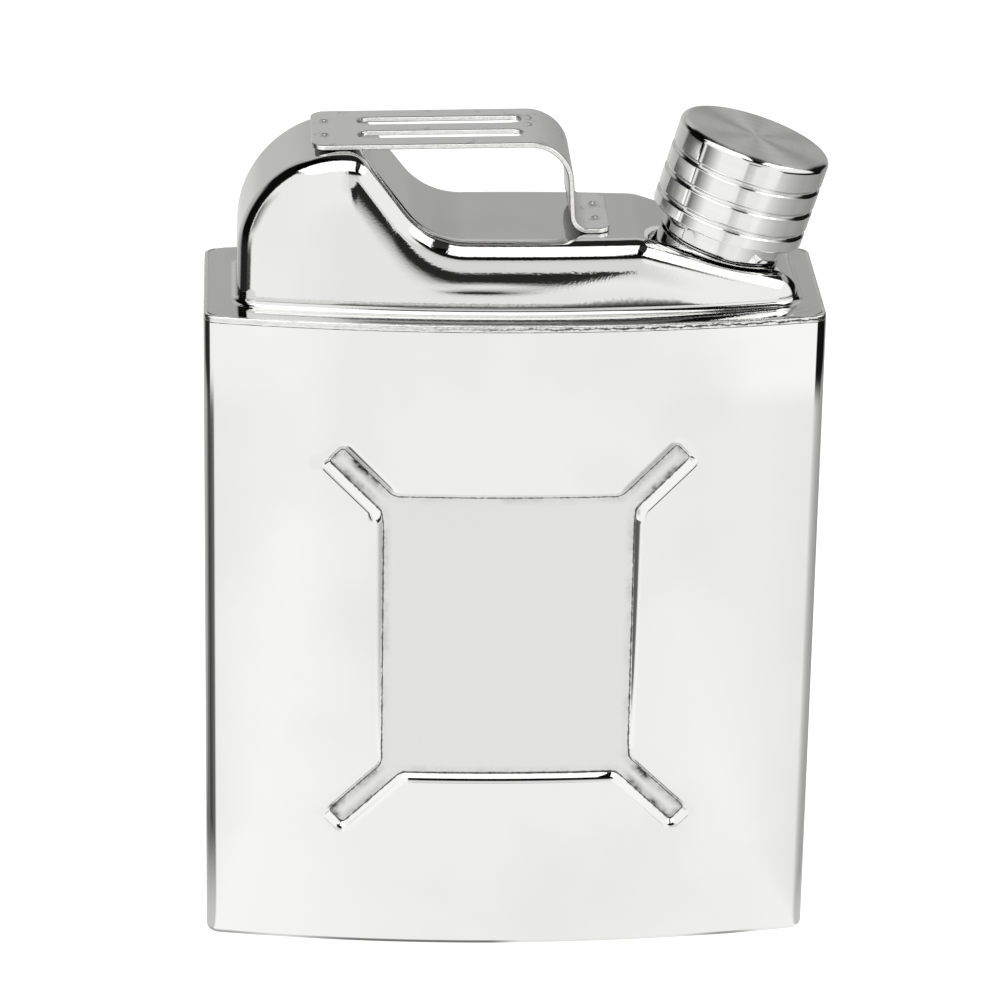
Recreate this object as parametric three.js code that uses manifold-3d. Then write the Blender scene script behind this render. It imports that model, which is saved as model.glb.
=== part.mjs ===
// A hip flask of polished stainless steel in the shape of a small fuel can, in millimetres, +Z up.
// The origin is the middle of the flat foot. +X is the pouring side and -Y is the front.
import * as THREE from "three";
import { mergeVertices } from "three/addons/utils/BufferGeometryUtils.js";
import Module from "manifold-3d";

const wasm = await Module();
wasm.setup();

// Sheet and fits
const SHEET = 0.6; // wall of the sleeve, the base and the shoulder
const FIT_GAP = 0.3; // clearance between neighbours on the neck's axis

// Body, a rectangle in plan whose front and back bow out
const BODY_WIDTH = 84;
const SIDE_DEPTH = 26.4; // depth along the two narrow sides
const BOW = 4.2; // swell of the front and of the back at mid width
const CORNER_RADIUS = 1.9; // upright edges
const FOOT_RADIUS = 1.2; // edge round the underside
const BASE_HEIGHT = 3; // seam between the base pan and the sleeve
const RIM_HEIGHT = 93; // top of the shoulder's flange
const BEAD_HEIGHT = 0.95; // weld band between the sleeve and the flange

// Pressed panel on the front and on the back, with an arm running out of each corner
const PANEL_MIDDLE = 47.15; // height of its centre
const PANEL_SHIFT = -0.6; // its centre lies a little to the left
const PANEL_WIDTH = 34.3;
const PANEL_HEIGHT = 41.3;
const PANEL_DEPTH = 0.9;
const PANEL_RUN = 1; // width of the sloping wall for each unit of depth
const PANEL_CORNER = 0.5; // radius of the corners and of the arms' ends
const ARM_WIDTH = 2.7;
const ARM_ANGLE = THREE.MathUtils.degToRad(45); // from the horizontal
// The arms' ends, which aren't quite alike: out from the panel's side, and past its top or its foot
const ARM_ENDS = [
  { right: -1, up: 1, out: 6.5, past: 5.95 },
  { right: 1, up: 1, out: 6.5, past: 6.4 },
  { right: -1, up: -1, out: 6.35, past: 7.1 },
  { right: 1, up: -1, out: 7.15, past: 6.9 },
];

// Shoulder, drawn up from a flat flange: hump, deck and slope from left to right
const LEDGE_SIDE = 4.4; // flange width at the front and back
const LEDGE_LEFT = 4.4;
const LEDGE_RIGHT = 3.4;
const EDGE_RADIUS = 3.4; // rounding of the shoulder's long edges
const FILLET_RADIUS = 1.2; // where the shoulder rises out of the flange
const WALL_DRAFT = 0.5; // lean of the two end walls, over their height
const CREST_HEIGHT = 21.3; // above the rim
const CREST_LENGTH = 17; // from the left foot to the brow of the hump
const HUMP_RADIUS = 14.5;
const BROW_RADIUS = 4.2;
const HUMP_SLOPE = THREE.MathUtils.degToRad(52.5);
const TOE_RADIUS = 10; // hollow where the hump meets the deck
const DECK_HEIGHT = 9.5; // above the rim
const SLOPE_LENGTH = 21.6; // from the fold of the deck to the right end
const FOLD_RADIUS = 6;
const END_RADIUS = 3.6;

// Neck and cap, square to the slope
const NECK_LEAN = THREE.MathUtils.degToRad(16.7);
const NECK_INSET = 10.2; // from the right end of the shoulder to the neck's axis
const NECK_RADIUS = 8.45;
const NECK_WALL = 1.5;
const NECK_STEP = 0.7; // how much slimmer the spigot under the collar is
const NECK_SPIGOT = 1.5; // spigot length below the sheet
const NECK_SHOW = 2.9; // bare neck under the closed cap
const NECK_CHAMFER = 0.4; // outer edge of the neck's rim
const CAP_WALL = 0.7; // metal left under the grooves
const CAP_LENGTH = 12.65;
const CAP_TOP = 1.4; // thickness of the cap's end wall
const CAP_EDGE = 1; // rounding of the cap's top edge
const GROOVE_COUNT = 3;
const GROOVE_WIDTH = 0.95;
const GROOVE_DEPTH = 0.4;
const GROOVE_FIRST = 1.65; // from the cap's mouth to its first groove
const GROOVE_PITCH = 3.25;
const GASKET_THICKNESS = 1.5;
const GASKET_WIDTH = 3.6; // of the ring, from its rim to its hole
const THREAD_PITCH = 2.5;
const THREAD_DEPTH = 0.7;
const THREAD_BASE = 1.2; // width of a ridge at its root
const THREAD_TIP = 0.6; // width of a ridge at its crest
const THREAD_FOOT = 2.95; // from the cap's mouth up to the start of the neck's thread
const THREAD_LEAD = 1.2; // plain stretch between the neck's thread and its rim
const THREAD_FADE = THREE.MathUtils.degToRad(45); // turn over which a thread's ends rise to full depth

// Handle, one bent strip
const HANDLE_SHEET = 0.75;
const HANDLE_WIDTH = 14.65;
const HANDLE_CORNER = 1.9; // corners of the strip's two ends
const HANDLE_HEAD = 4.55; // from the hump's crest to the strip's end
const SEAT_GAP = 0.02; // between the strip and the hump's crest
const GRIP_RISE = THREE.MathUtils.degToRad(0.9);
const GRIP_BEND = 6; // radius between grip and leg
const LEG_LEAN = THREE.MathUtils.degToRad(3.5);
const FOOT_BEND = 1.8; // radius between leg and foot
const FOOT_LENGTH = 4.6;
const FOOT_INSET = 4.2; // from the strip's foot end to the fold of the deck
const SLOT_WIDTH = 2.7;
const SLOT_START = 6.3; // from the strip's end to the slots
const SLOT_END = 6.5; // from the slots to the corner between grip and leg
const ROW_SPACING = 5.8; // between the two slots, and between paired welds
const WELD_INSET = 1.8; // from either end of the strip to its welds
const WELD_DIAMETER = 1.3;
const WELD_DEPTH = 0.25;

// Facets
const FACE_STEPS = 14; // along each bowed face
const CORNER_STEPS = 4;
const TURN_STEPS = 36; // around a full turn
const DIMPLE_SIDES = 9;
const BEND_ANGLE = THREE.MathUtils.degToRad(10); // most that one facet of a bend turns
const RUN_STEP = 6; // longest facet of a straight run that follows the bow

const CUT_PAST = 3; // how far a cutting shape runs past what it cuts
const LEAST_RADIUS = 0.05;

// Points of an arc, both ends included.
function arc(x, y, radius, from, to, steps) {
  return Array.from({ length: steps + 1 }, (_, i) => {
    const angle = from + ((to - from) * i) / steps;
    return new THREE.Vector2(x + radius * Math.cos(angle), y + radius * Math.sin(angle));
  });
}

// The circle that a bowed face follows: its radius, and its centre's distance from the middle plane.
const bowRadius = (BODY_WIDTH ** 2 / 4 + BOW ** 2) / (2 * BOW);
const bowCentre = bowRadius - SIDE_DEPTH / 2 - BOW;

// Half of the bowed body's depth at x, drawn in by inset.
function halfDepth(x, inset) {
  return Math.sqrt((bowRadius - inset) ** 2 - x ** 2) - bowCentre;
}

// Counter-clockwise plan outline with straight ends, bowed faces and round corners.
function planOutline(left, right, inset, corner) {
  const faceRadius = bowRadius - inset;
  const rightX = right - corner;
  const leftX = left + corner;
  const rightY = Math.sqrt((faceRadius - corner) ** 2 - rightX ** 2);
  const leftY = Math.sqrt((faceRadius - corner) ** 2 - leftX ** 2);
  const rightAngle = Math.atan2(rightY, rightX);
  const leftAngle = Math.atan2(leftY, leftX);
  const back = [
    ...arc(rightX, rightY - bowCentre, corner, 0, rightAngle, CORNER_STEPS),
    ...arc(0, -bowCentre, faceRadius, rightAngle, leftAngle, FACE_STEPS).slice(1, -1),
    ...arc(leftX, leftY - bowCentre, corner, leftAngle, Math.PI, CORNER_STEPS),
  ];
  const front = back.map((p) => new THREE.Vector2(p.x, -p.y)).reverse();
  return [...back, ...front];
}

// Plan outline of the body, drawn in from its outer face.
function bodyOutline(inset) {
  const side = BODY_WIDTH / 2 - inset;
  return planOutline(-side, side, inset, Math.max(CORNER_RADIUS - inset, LEAST_RADIUS));
}

// Rounded rectangle about the origin, counter-clockwise, with its long runs divided to follow the bow.
function roundedRectangle(width, height, corner) {
  const x = width / 2 - corner;
  const y = height / 2 - corner;
  const corners = [[x, y], [-x, y], [-x, -y], [x, -y]];
  const loop = corners.flatMap(([cx, cy], i) =>
    arc(cx, cy, corner, (i * Math.PI) / 2, ((i + 1) * Math.PI) / 2, CORNER_STEPS));
  return loop.flatMap((point, i) => {
    const next = loop[(i + 1) % loop.length];
    const parts = Math.ceil(point.distanceTo(next) / RUN_STEP);
    return Array.from({ length: parts }, (_, k) => point.clone().lerp(next, k / parts));
  });
}

// Path through corners [x, z, radius] with each corner rounded. Each sample has its normal, on the left,
// and the radius of the bend there if it turns right. Roundings that would meet are limited by their run.
function roundedPath(corners) {
  const points = corners.map(([x, z]) => new THREE.Vector2(x, z));
  const runs = points.slice(1).map((point, i) => point.clone().sub(points[i]));
  const turns = runs.slice(1).map((run, i) => Math.atan2(runs[i].cross(run), runs[i].dot(run)));
  const wanted = [0, ...turns.map((turn, i) => corners[i + 1][2] * Math.tan(Math.abs(turn) / 2)), 0];
  const shares = runs.map((run, i) => Math.min(1, run.length() / (wanted[i] + wanted[i + 1])));
  const samples = [];
  const add = (point, heading, bend = Infinity) => {
    samples.push({ point, normal: new THREE.Vector2(-Math.sin(heading), Math.cos(heading)), bend });
  };
  add(points[0], runs[0].angle());
  turns.forEach((turn, i) => {
    const tangent = wanted[i + 1] * Math.min(shares[i], shares[i + 1]);
    const radius = tangent / Math.tan(Math.abs(turn) / 2);
    const heading = runs[i].angle();
    const start = points[i + 1].clone().addScaledVector(runs[i].clone().normalize(), -tangent);
    const side = new THREE.Vector2(-Math.sin(heading), Math.cos(heading)).multiplyScalar(Math.sign(turn));
    const centre = start.clone().addScaledVector(side, radius);
    const steps = Math.ceil(Math.abs(turn) / BEND_ANGLE);
    for (let k = 0; k <= steps; k++) {
      const turned = (turn * k) / steps;
      add(start.clone().rotateAround(centre, turned), heading + turned, turn < 0 ? radius : Infinity);
    }
  });
  add(points[points.length - 1], runs[runs.length - 1].angle());
  return samples;
}

// Closed geometry through a stack of rings, each counter-clockwise seen from the end of the stack.
function stack(rings) {
  const count = rings[0].length;
  const last = (rings.length - 1) * count;
  const points = rings.flat();
  const middle = (ring) => ring.reduce((sum, p) => sum.add(p), new THREE.Vector3()).divideScalar(count);
  points.push(middle(rings[0]), middle(rings[rings.length - 1]));
  const bottom = points.length - 2;
  const top = points.length - 1;
  const faces = [];
  for (let i = 0; i < count; i++) {
    const next = (i + 1) % count;
    faces.push(next, i, bottom, last + i, last + next, top);
    for (let base = 0; base < last; base += count) {
      faces.push(base + i, base + next, base + count + next);
      faces.push(base + i, base + count + next, base + count + i);
    }
  }
  return new THREE.BufferGeometry().setFromPoints(points).setIndex(faces);
}

// Solid of a closed geometry, ready to be joined or cut. Faces that merging has closed up are dropped.
function solid(geometry) {
  const bare = new THREE.BufferGeometry();
  bare.setAttribute("position", geometry.getAttribute("position"));
  bare.setIndex(geometry.index);
  const merged = mergeVertices(bare);
  const corners = Array.from(merged.index.array);
  const triVerts = [];
  for (let i = 0; i < corners.length; i += 3) {
    const [a, b, c] = corners.slice(i, i + 3);
    if (a !== b && b !== c && c !== a) triVerts.push(a, b, c);
  }
  const vertProperties = merged.getAttribute("position").array;
  return new wasm.Manifold(
    new wasm.Mesh({ numProp: 3, vertProperties, triVerts: new Uint32Array(triVerts) }));
}

// Geometry of a solid.
function geometryOf(shape) {
  const { vertProperties, triVerts } = shape.getMesh();
  const geometry = new THREE.BufferGeometry();
  geometry.setAttribute("position", new THREE.BufferAttribute(vertProperties, 3));
  geometry.setIndex(new THREE.BufferAttribute(triVerts, 1));
  geometry.computeVertexNormals();
  return geometry;
}

// A plan outline at one height.
function level(outline, z) {
  return outline.map((p) => new THREE.Vector3(p.x, p.y, z));
}

// Upright prism of a plan outline.
function prism(outline, low, high) {
  return solid(stack([level(outline, low), level(outline, high)]));
}

// Turned solid of a closed profile [radius, height], listed counter-clockwise.
function turned(profile) {
  const points = [...profile, profile[0]].map(([r, h]) => new THREE.Vector2(r, h));
  return new THREE.LatheGeometry(points, TURN_STEPS).rotateX(Math.PI / 2);
}

// Base pan: flat floor, rounded foot and a low wall under the sleeve.
function basePlate() {
  const innerRadius = Math.max(FOOT_RADIUS - SHEET, LEAST_RADIUS);
  const foot = (radius) =>
    arc(FOOT_RADIUS, FOOT_RADIUS, radius, (3 * Math.PI) / 2, Math.PI, CORNER_STEPS)
      .map(({ x, y }) => level(bodyOutline(x), y));
  const outer = [...foot(FOOT_RADIUS), level(bodyOutline(0), BASE_HEIGHT)];
  const inner = [...foot(innerRadius), level(bodyOutline(SHEET), BASE_HEIGHT + CUT_PAST)];
  return geometryOf(solid(stack(outer)).subtract(solid(stack(inner))));
}

// One pressed shape: an outline that widens with the sloping wall, bent to the bow. below is 0 for the
// sheet's outer face and SHEET for its inner one, and facing turns the shape from the front to the back.
function pressedShape(width, height, angle, x, z, below, facing) {
  const spread = below * Math.hypot(1, PANEL_RUN);
  const ring = (depth, wallDepth) => {
    const grow = 2 * (PANEL_RUN * (PANEL_DEPTH - wallDepth) + spread);
    const outline = roundedRectangle(width + grow, height + grow, PANEL_CORNER + grow / 2);
    return outline.map((p) => {
      const place = p.rotateAround(new THREE.Vector2(), angle).add(new THREE.Vector2(x, z));
      return new THREE.Vector3(place.x, depth - halfDepth(place.x, 0), place.y);
    });
  };
  const floor = PANEL_DEPTH + below;
  const rings = [ring(floor + CUT_PAST, floor), ring(floor, floor), ring(-CUT_PAST, -CUT_PAST)];
  return solid(stack(rings).rotateZ(facing));
}

// The pressed panel with its four arms, on one face of the sheet.
function pressedPanel(below, facing) {
  let panel = pressedShape(PANEL_WIDTH, PANEL_HEIGHT, 0, PANEL_SHIFT, PANEL_MIDDLE, below, facing);
  for (const { right, up, out, past } of ARM_ENDS) {
    const length = out / Math.cos(ARM_ANGLE) + ARM_WIDTH; // its root lies within the panel
    const x = PANEL_SHIFT + right * (PANEL_WIDTH / 2 + out - (length * Math.cos(ARM_ANGLE)) / 2);
    const z = PANEL_MIDDLE + up * (PANEL_HEIGHT / 2 + past - (length * Math.sin(ARM_ANGLE)) / 2);
    panel = panel.add(pressedShape(length, ARM_WIDTH, right * up * ARM_ANGLE, x, z, below, facing));
  }
  return panel;
}

// Sleeve: a wrapped sheet with the panel pressed into its front and back.
function bodySleeve() {
  const top = RIM_HEIGHT - BEAD_HEIGHT;
  const face = (below, past) => {
    const shell = (inset) => prism(bodyOutline(inset), BASE_HEIGHT - past, top + past);
    const panels = pressedPanel(below, 0).add(pressedPanel(below, Math.PI));
    return shell(below).subtract(panels).add(shell(PANEL_DEPTH + below));
  };
  return geometryOf(face(0, 0).subtract(face(SHEET, CUT_PAST)));
}

// Weld band that closes the rim, as wide as the sleeve's wall, with its outer top edge rounded off.
function rimWeldBead() {
  const low = RIM_HEIGHT - BEAD_HEIGHT;
  const crown = SHEET / 2;
  const outer = [
    level(bodyOutline(0), low),
    ...arc(crown, RIM_HEIGHT - crown, crown, Math.PI, Math.PI / 2, CORNER_STEPS)
      .map(({ x, y }) => level(bodyOutline(x), y)),
  ];
  const inner = prism(bodyOutline(SHEET), low - CUT_PAST, RIM_HEIGHT + CUT_PAST);
  return geometryOf(solid(stack(outer)).subtract(inner));
}

// Places along the shoulder
const shoulderLeft = LEDGE_LEFT - BODY_WIDTH / 2;
const shoulderRight = BODY_WIDTH / 2 - LEDGE_RIGHT;
const crestZ = RIM_HEIGHT + CREST_HEIGHT;
const deckZ = RIM_HEIGHT + DECK_HEIGHT;
const browX = shoulderLeft + CREST_LENGTH;
const toeX = browX + (CREST_HEIGHT - DECK_HEIGHT) / Math.tan(HUMP_SLOPE);
const foldX = shoulderRight - SLOPE_LENGTH;

// Height of the slope that carries the neck.
function slopeZ(x) {
  return deckZ - (x - foldX) * Math.tan(NECK_LEAN);
}

// Top line of the shoulder from its left foot to its right one, seen from the front.
function shoulderProfile(footZ) {
  const endX = shoulderRight - WALL_DRAFT;
  const corners = [
    [shoulderLeft, footZ, 0],
    [shoulderLeft + WALL_DRAFT, crestZ, HUMP_RADIUS],
    [browX, crestZ, BROW_RADIUS],
    [toeX, deckZ, TOE_RADIUS],
    [foldX, deckZ, FOLD_RADIUS],
    [endX, slopeZ(endX), END_RADIUS],
    [shoulderRight, footZ, 0],
  ];
  const samples = roundedPath(corners);
  return samples.flatMap((sample, i) => {
    const next = samples[i + 1];
    const parts = next ? Math.ceil(Math.abs(next.point.x - sample.point.x) / RUN_STEP) || 1 : 1;
    return Array.from({ length: parts }, (_, k) => ({
      ...sample,
      point: next ? sample.point.clone().lerp(next.point, k / parts) : sample.point,
    }));
  });
}

// Left end of the level crest, on which the handle's strip lies.
const crestX = shoulderProfile(RIM_HEIGHT).find(({ point }) => point.y > crestZ - SEAT_GAP).point.x;

// Drawn-up part of the shoulder as a full solid, drawn in by inset: the top line is carried from back to
// front, its two long edges are rounded, and its walls drop to footZ.
function shoulderDome(inset, footZ) {
  const profile = shoulderProfile(footZ);
  const edge = Math.min(EDGE_RADIUS, ...profile.map(({ bend }) => bend));
  const rings = profile.map(({ point, normal }) => {
    const sink = (y, depth) => {
      const place = point.clone().addScaledVector(normal, -depth);
      return new THREE.Vector3(place.x, y, Math.max(place.y, footZ));
    };
    const half = halfDepth(sink(0, edge).x, LEDGE_SIDE) - inset;
    const rounding = arc(half + inset - edge, edge, edge - inset, 0, -Math.PI / 2, CORNER_STEPS)
      .map(({ x, y }) => sink(x, y));
    const back = [rounding[0].clone().setZ(footZ), ...rounding];
    const front = back.map((p) => new THREE.Vector3(p.x, -p.y, p.z)).reverse();
    return [...back, ...front];
  });
  return solid(stack(rings));
}

// Fillet round the foot of the shoulder, as a flared plinth on the flange.
function shoulderFillet() {
  const rings = arc(FILLET_RADIUS, FILLET_RADIUS, FILLET_RADIUS, (3 * Math.PI) / 2, Math.PI, CORNER_STEPS)
    .slice(0, -1)
    .map(({ x, y }) => {
      const outline = planOutline(shoulderLeft - x, shoulderRight + x, LEDGE_SIDE - x, EDGE_RADIUS + x);
      return level(outline, RIM_HEIGHT + y);
    });
  return solid(stack([rings[0].map((p) => p.clone().setZ(RIM_HEIGHT - SHEET)), ...rings]));
}

// Shoulder: flange, fillet and hollow dome, with the hole for the neck's spigot.
function shoulderCover() {
  const flange = prism(bodyOutline(SHEET), RIM_HEIGHT - SHEET, RIM_HEIGHT);
  const inside = shoulderDome(SHEET, RIM_HEIGHT - SHEET - CUT_PAST);
  const hole = new THREE.CylinderGeometry(holeRadius, holeRadius, 2 * (CUT_PAST + SHEET), TURN_STEPS)
    .rotateX(Math.PI / 2)
    .rotateY(NECK_LEAN)
    .translate(neckX, 0, slopeZ(neckX));
  const outside = shoulderDome(0, RIM_HEIGHT - SHEET).add(flange).add(shoulderFillet());
  return geometryOf(outside.subtract(inside).subtract(solid(hole)));
}

// Places along the neck's axis, counted from the outer face of the slope
const neckX = shoulderRight - NECK_INSET;
const neckBore = NECK_RADIUS - NECK_WALL;
const spigotRadius = NECK_RADIUS - NECK_STEP;
const holeRadius = spigotRadius + FIT_GAP;
const capCeiling = NECK_SHOW + CAP_LENGTH - CAP_TOP;
const gasketTop = capCeiling - FIT_GAP;
const neckTop = gasketTop - GASKET_THICKNESS - FIT_GAP;
const neckCrest = NECK_RADIUS + THREAD_DEPTH;
const capBore = neckCrest + FIT_GAP;
const capRadius = capBore + CAP_WALL + GROOVE_DEPTH;
const threadStart = NECK_SHOW + THREAD_FOOT;
const threadTurns = (neckTop - THREAD_LEAD - threadStart) / THREAD_PITCH;

// Helical ridge with a trapezium section, from its root out or in to its crest, fading at both ends.
function threadRidge(root, crest, start) {
  const sections = Math.round(threadTurns * TURN_STEPS);
  const fadeSections = (TURN_STEPS * THREAD_FADE) / (2 * Math.PI);
  const rings = Array.from({ length: sections + 1 }, (_, i) => {
    const fade = Math.min(1, (i + 1) / fadeSections, (sections + 1 - i) / fadeSections);
    const tip = root + (crest - root) * fade;
    const height = start + (THREAD_PITCH * i) / TURN_STEPS;
    const angle = (2 * Math.PI * i) / TURN_STEPS;
    const at = (radius, h) => new THREE.Vector3(radius * Math.cos(angle), radius * Math.sin(angle), h);
    const section = [
      at(root, height - THREAD_BASE / 2),
      at(root, height + THREAD_BASE / 2),
      at(tip, height + THREAD_TIP / 2),
      at(tip, height - THREAD_TIP / 2),
    ];
    return crest > root ? section : section.reverse();
  });
  return solid(stack(rings));
}

// Neck: a bored spigot and collar with an external thread.
function neckSpout() {
  const spigotEnd = -SHEET - NECK_SPIGOT;
  const tube = turned([
    [neckBore, spigotEnd],
    [spigotRadius, spigotEnd],
    [spigotRadius, FIT_GAP],
    [NECK_RADIUS, FIT_GAP],
    [NECK_RADIUS, neckTop - NECK_CHAMFER],
    [NECK_RADIUS - NECK_CHAMFER, neckTop],
    [neckBore, neckTop],
  ]);
  return geometryOf(solid(tube).add(threadRidge(NECK_RADIUS - FIT_GAP, neckCrest, threadStart)));
}

// Cap: a grooved cup with an internal thread that runs between the turns of the neck's thread.
function capShell() {
  const grooves = Array.from({ length: GROOVE_COUNT }, (_, i) => {
    const low = NECK_SHOW + GROOVE_FIRST + i * GROOVE_PITCH;
    const floor = capRadius - GROOVE_DEPTH;
    return [
      [capRadius, low],
      [floor, low + GROOVE_DEPTH / 2],
      [floor, low + GROOVE_WIDTH - GROOVE_DEPTH / 2],
      [capRadius, low + GROOVE_WIDTH],
    ];
  }).flat();
  const top = NECK_SHOW + CAP_LENGTH;
  const topEdge = arc(capRadius - CAP_EDGE, top - CAP_EDGE, CAP_EDGE, 0, Math.PI / 2, CORNER_STEPS);
  const cup = turned([
    [0, capCeiling],
    [capBore, capCeiling],
    [capBore, NECK_SHOW],
    [capRadius, NECK_SHOW],
    ...grooves,
    ...topEdge.map(({ x, y }) => [x, y]),
    [0, top],
  ]);
  const crest = NECK_RADIUS + FIT_GAP;
  return geometryOf(solid(cup).add(threadRidge(capBore + FIT_GAP, crest, threadStart - THREAD_PITCH / 2)));
}

// Sealing ring under the cap's end wall.
function capGasket() {
  const rim = capBore - FIT_GAP;
  const low = gasketTop - GASKET_THICKNESS;
  return turned([
    [rim - GASKET_WIDTH, low],
    [rim, low],
    [rim, gasketTop],
    [rim - GASKET_WIDTH, gasketTop],
  ]);
}

// Handle: a bent strip from the hump's crest to the deck, with slots, weld dimples and round corners.
function handle() {
  const headX = crestX - HANDLE_HEAD;
  const footX = foldX - FOOT_INSET;
  const footTop = deckZ + HANDLE_SHEET;
  const seatTop = crestZ + SEAT_GAP + HANDLE_SHEET / Math.cos(GRIP_RISE);
  const gripTop = (x) => seatTop + (x - crestX) * Math.tan(GRIP_RISE);
  const legLow = footX - FOOT_LENGTH;
  const bendX = legLow - (gripTop(legLow) - footTop) * Math.tan(LEG_LEAN);
  const path = roundedPath([
    [headX, gripTop(headX), 0],
    [bendX, gripTop(bendX), GRIP_BEND],
    [legLow, footTop, FOOT_BEND],
    [footX, footTop, 0],
  ]);
  const under = path.map(({ point, normal }) => point.clone().addScaledVector(normal, -HANDLE_SHEET));
  const side = new THREE.Shape([...under, ...path.map(({ point }) => point).reverse()]);
  const width = HANDLE_WIDTH + 2 * CUT_PAST;
  const strip = new THREE.ExtrudeGeometry(side, { depth: width, bevelEnabled: false })
    .rotateX(Math.PI / 2)
    .translate(0, width / 2, 0);
  const low = deckZ - CUT_PAST;
  const high = crestZ + CUT_PAST;
  const place = (outline, x, y) => outline.map((p) => p.add(new THREE.Vector2(x, y)));
  const plan = roundedRectangle(footX - headX, HANDLE_WIDTH, HANDLE_CORNER);
  let shape = solid(strip).intersect(prism(place(plan, (headX + footX) / 2, 0), low, high));
  const slotLength = bendX - SLOT_END - headX - SLOT_START;
  const slotX = headX + SLOT_START + slotLength / 2;
  const welds = [[headX + WELD_INSET, gripTop(headX + WELD_INSET)], [footX - WELD_INSET, footTop]];
  for (const y of [-ROW_SPACING / 2, ROW_SPACING / 2]) {
    const slot = roundedRectangle(slotLength, SLOT_WIDTH, SLOT_WIDTH / 2);
    shape = shape.subtract(prism(place(slot, slotX, y), (crestZ + deckZ) / 2, high));
    for (const [x, z] of welds) {
      // Half of the cone stands above the strip, so it is a dimple's width where it meets the surface.
      const dimple = new THREE.ConeGeometry(WELD_DIAMETER, 2 * WELD_DEPTH, DIMPLE_SIDES)
        .rotateX(-Math.PI / 2)
        .translate(x, y, z);
      shape = shape.subtract(solid(dimple));
    }
  }
  return geometryOf(shape);
}

// Named mesh with a material of its own.
function piece(name, geometry, color, roughness, metalness = 1) {
  const mesh = new THREE.Mesh(geometry, new THREE.MeshStandardMaterial({ color, roughness, metalness }));
  mesh.name = name;
  return mesh;
}

const flask = new THREE.Group();
flask.add(
  piece("base_plate", basePlate(), 0xdcdcdc, 0.08),
  piece("body_sleeve", bodySleeve(), 0xe4e4e2, 0.08),
  piece("rim_weld_bead", rimWeldBead(), 0xb9b9b6, 0.45),
  piece("shoulder_cover", shoulderCover(), 0xdedede, 0.06),
  piece("handle", handle(), 0xb4b5b6, 0.3),
);

// The neck's axis stands square to the slope.
const spout = new THREE.Group();
spout.position.set(neckX, 0, slopeZ(neckX));
spout.rotation.y = NECK_LEAN;
spout.add(
  piece("neck_spout", neckSpout(), 0xd2d2d0, 0.18),
  piece("cap_shell", capShell(), 0xcfcfce, 0.2),
  piece("cap_gasket", capGasket(), 0xe9e7e0, 0.6, 0),
);
flask.add(spout);

export default flask;
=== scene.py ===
"""Looks of a steel hip flask in the shape of a small fuel can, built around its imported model.

Sizes are in millimetres, with the sizes of the construction repeated where a surface needs them, and
become metres when a mesh is made. +Z is up, +X is the pouring side and -Y is the front.
"""

import logging
from dataclasses import dataclass, field
from enum import Enum
from math import atan2, ceil, cos, pi, radians, sin, sqrt, tan
from typing import Any

import bpy
import numpy as np
from mathutils import Matrix, Vector


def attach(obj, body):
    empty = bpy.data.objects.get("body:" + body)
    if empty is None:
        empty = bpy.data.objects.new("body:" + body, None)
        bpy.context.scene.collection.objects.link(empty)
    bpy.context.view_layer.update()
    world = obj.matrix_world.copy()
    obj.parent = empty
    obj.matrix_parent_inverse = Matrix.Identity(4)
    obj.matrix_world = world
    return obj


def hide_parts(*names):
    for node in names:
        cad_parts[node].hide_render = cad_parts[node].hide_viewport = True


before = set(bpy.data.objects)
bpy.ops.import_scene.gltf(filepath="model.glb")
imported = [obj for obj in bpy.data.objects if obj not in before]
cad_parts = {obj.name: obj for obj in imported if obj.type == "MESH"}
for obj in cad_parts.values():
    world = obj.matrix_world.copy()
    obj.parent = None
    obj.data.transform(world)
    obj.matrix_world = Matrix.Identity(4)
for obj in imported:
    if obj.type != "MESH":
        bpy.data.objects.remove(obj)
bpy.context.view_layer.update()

Array = np.ndarray
Material = bpy.types.Material
NodeSocket = bpy.types.NodeSocket
NodeTree = bpy.types.NodeTree
Bearings = tuple[tuple[float, float], ...]
Windows = tuple[tuple[float, float], ...]
MM = 0.001
WELD_DISTANCE = 0.0002  # corners closer than this share a vertex
PROBE = 0.02  # step over which slopes of a surface are measured
CREASE_REACH = 3.0  # distance from a pressed crease that marks can tell
log = logging.getLogger("flask")


class Body(Enum):
    """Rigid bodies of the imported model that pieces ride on."""

    FLASK = "flask"
    SEAL = "cap_seal"
    CAP = "cap"


class Slot(Enum):
    """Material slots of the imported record."""

    POLISHED = "polished_steel"
    WELD = "weld_steel"
    SATIN = "satin_steel"
    TURNED = "turned_steel"
    SILICONE = "silicone"


class Rim(Enum):
    """Borders of a grid that a sheet's thickness can be closed along."""

    FIRST_ROW = "first row"
    LAST_ROW = "last row"
    FIRST_COLUMN = "first column"
    LAST_COLUMN = "last column"


class ThreadSide(Enum):
    """Where a screw thread stands: out of a spigot or into a bore."""

    OUTSIDE = 1
    INSIDE = -1


def unit(vectors: Array) -> Array:
    """Vectors along the last axis, scaled to length one."""
    return vectors / np.maximum(np.linalg.norm(vectors, axis=-1, keepdims=True), 1e-12)


def stack(*parts: Any) -> Array:
    """Coordinates broadcast against each other and stacked along a new last axis."""
    return np.stack(np.broadcast_arrays(*parts), axis=-1)


def soft_min(a: Array, b: Array, width: float) -> Array:
    """Lesser of two values, blended where they are close.

    The plain minimum is lowered by a parabola that is a quarter of the width deep where both are equal.

    Args:
        a: First values.
        b: Second values.
        width: Difference at which the blend ends.

    Returns:
        The blended minimum.
    """
    share = np.maximum(width - np.abs(a - b), 0) / width
    return np.minimum(a, b) - share**2 * width / 4


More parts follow.
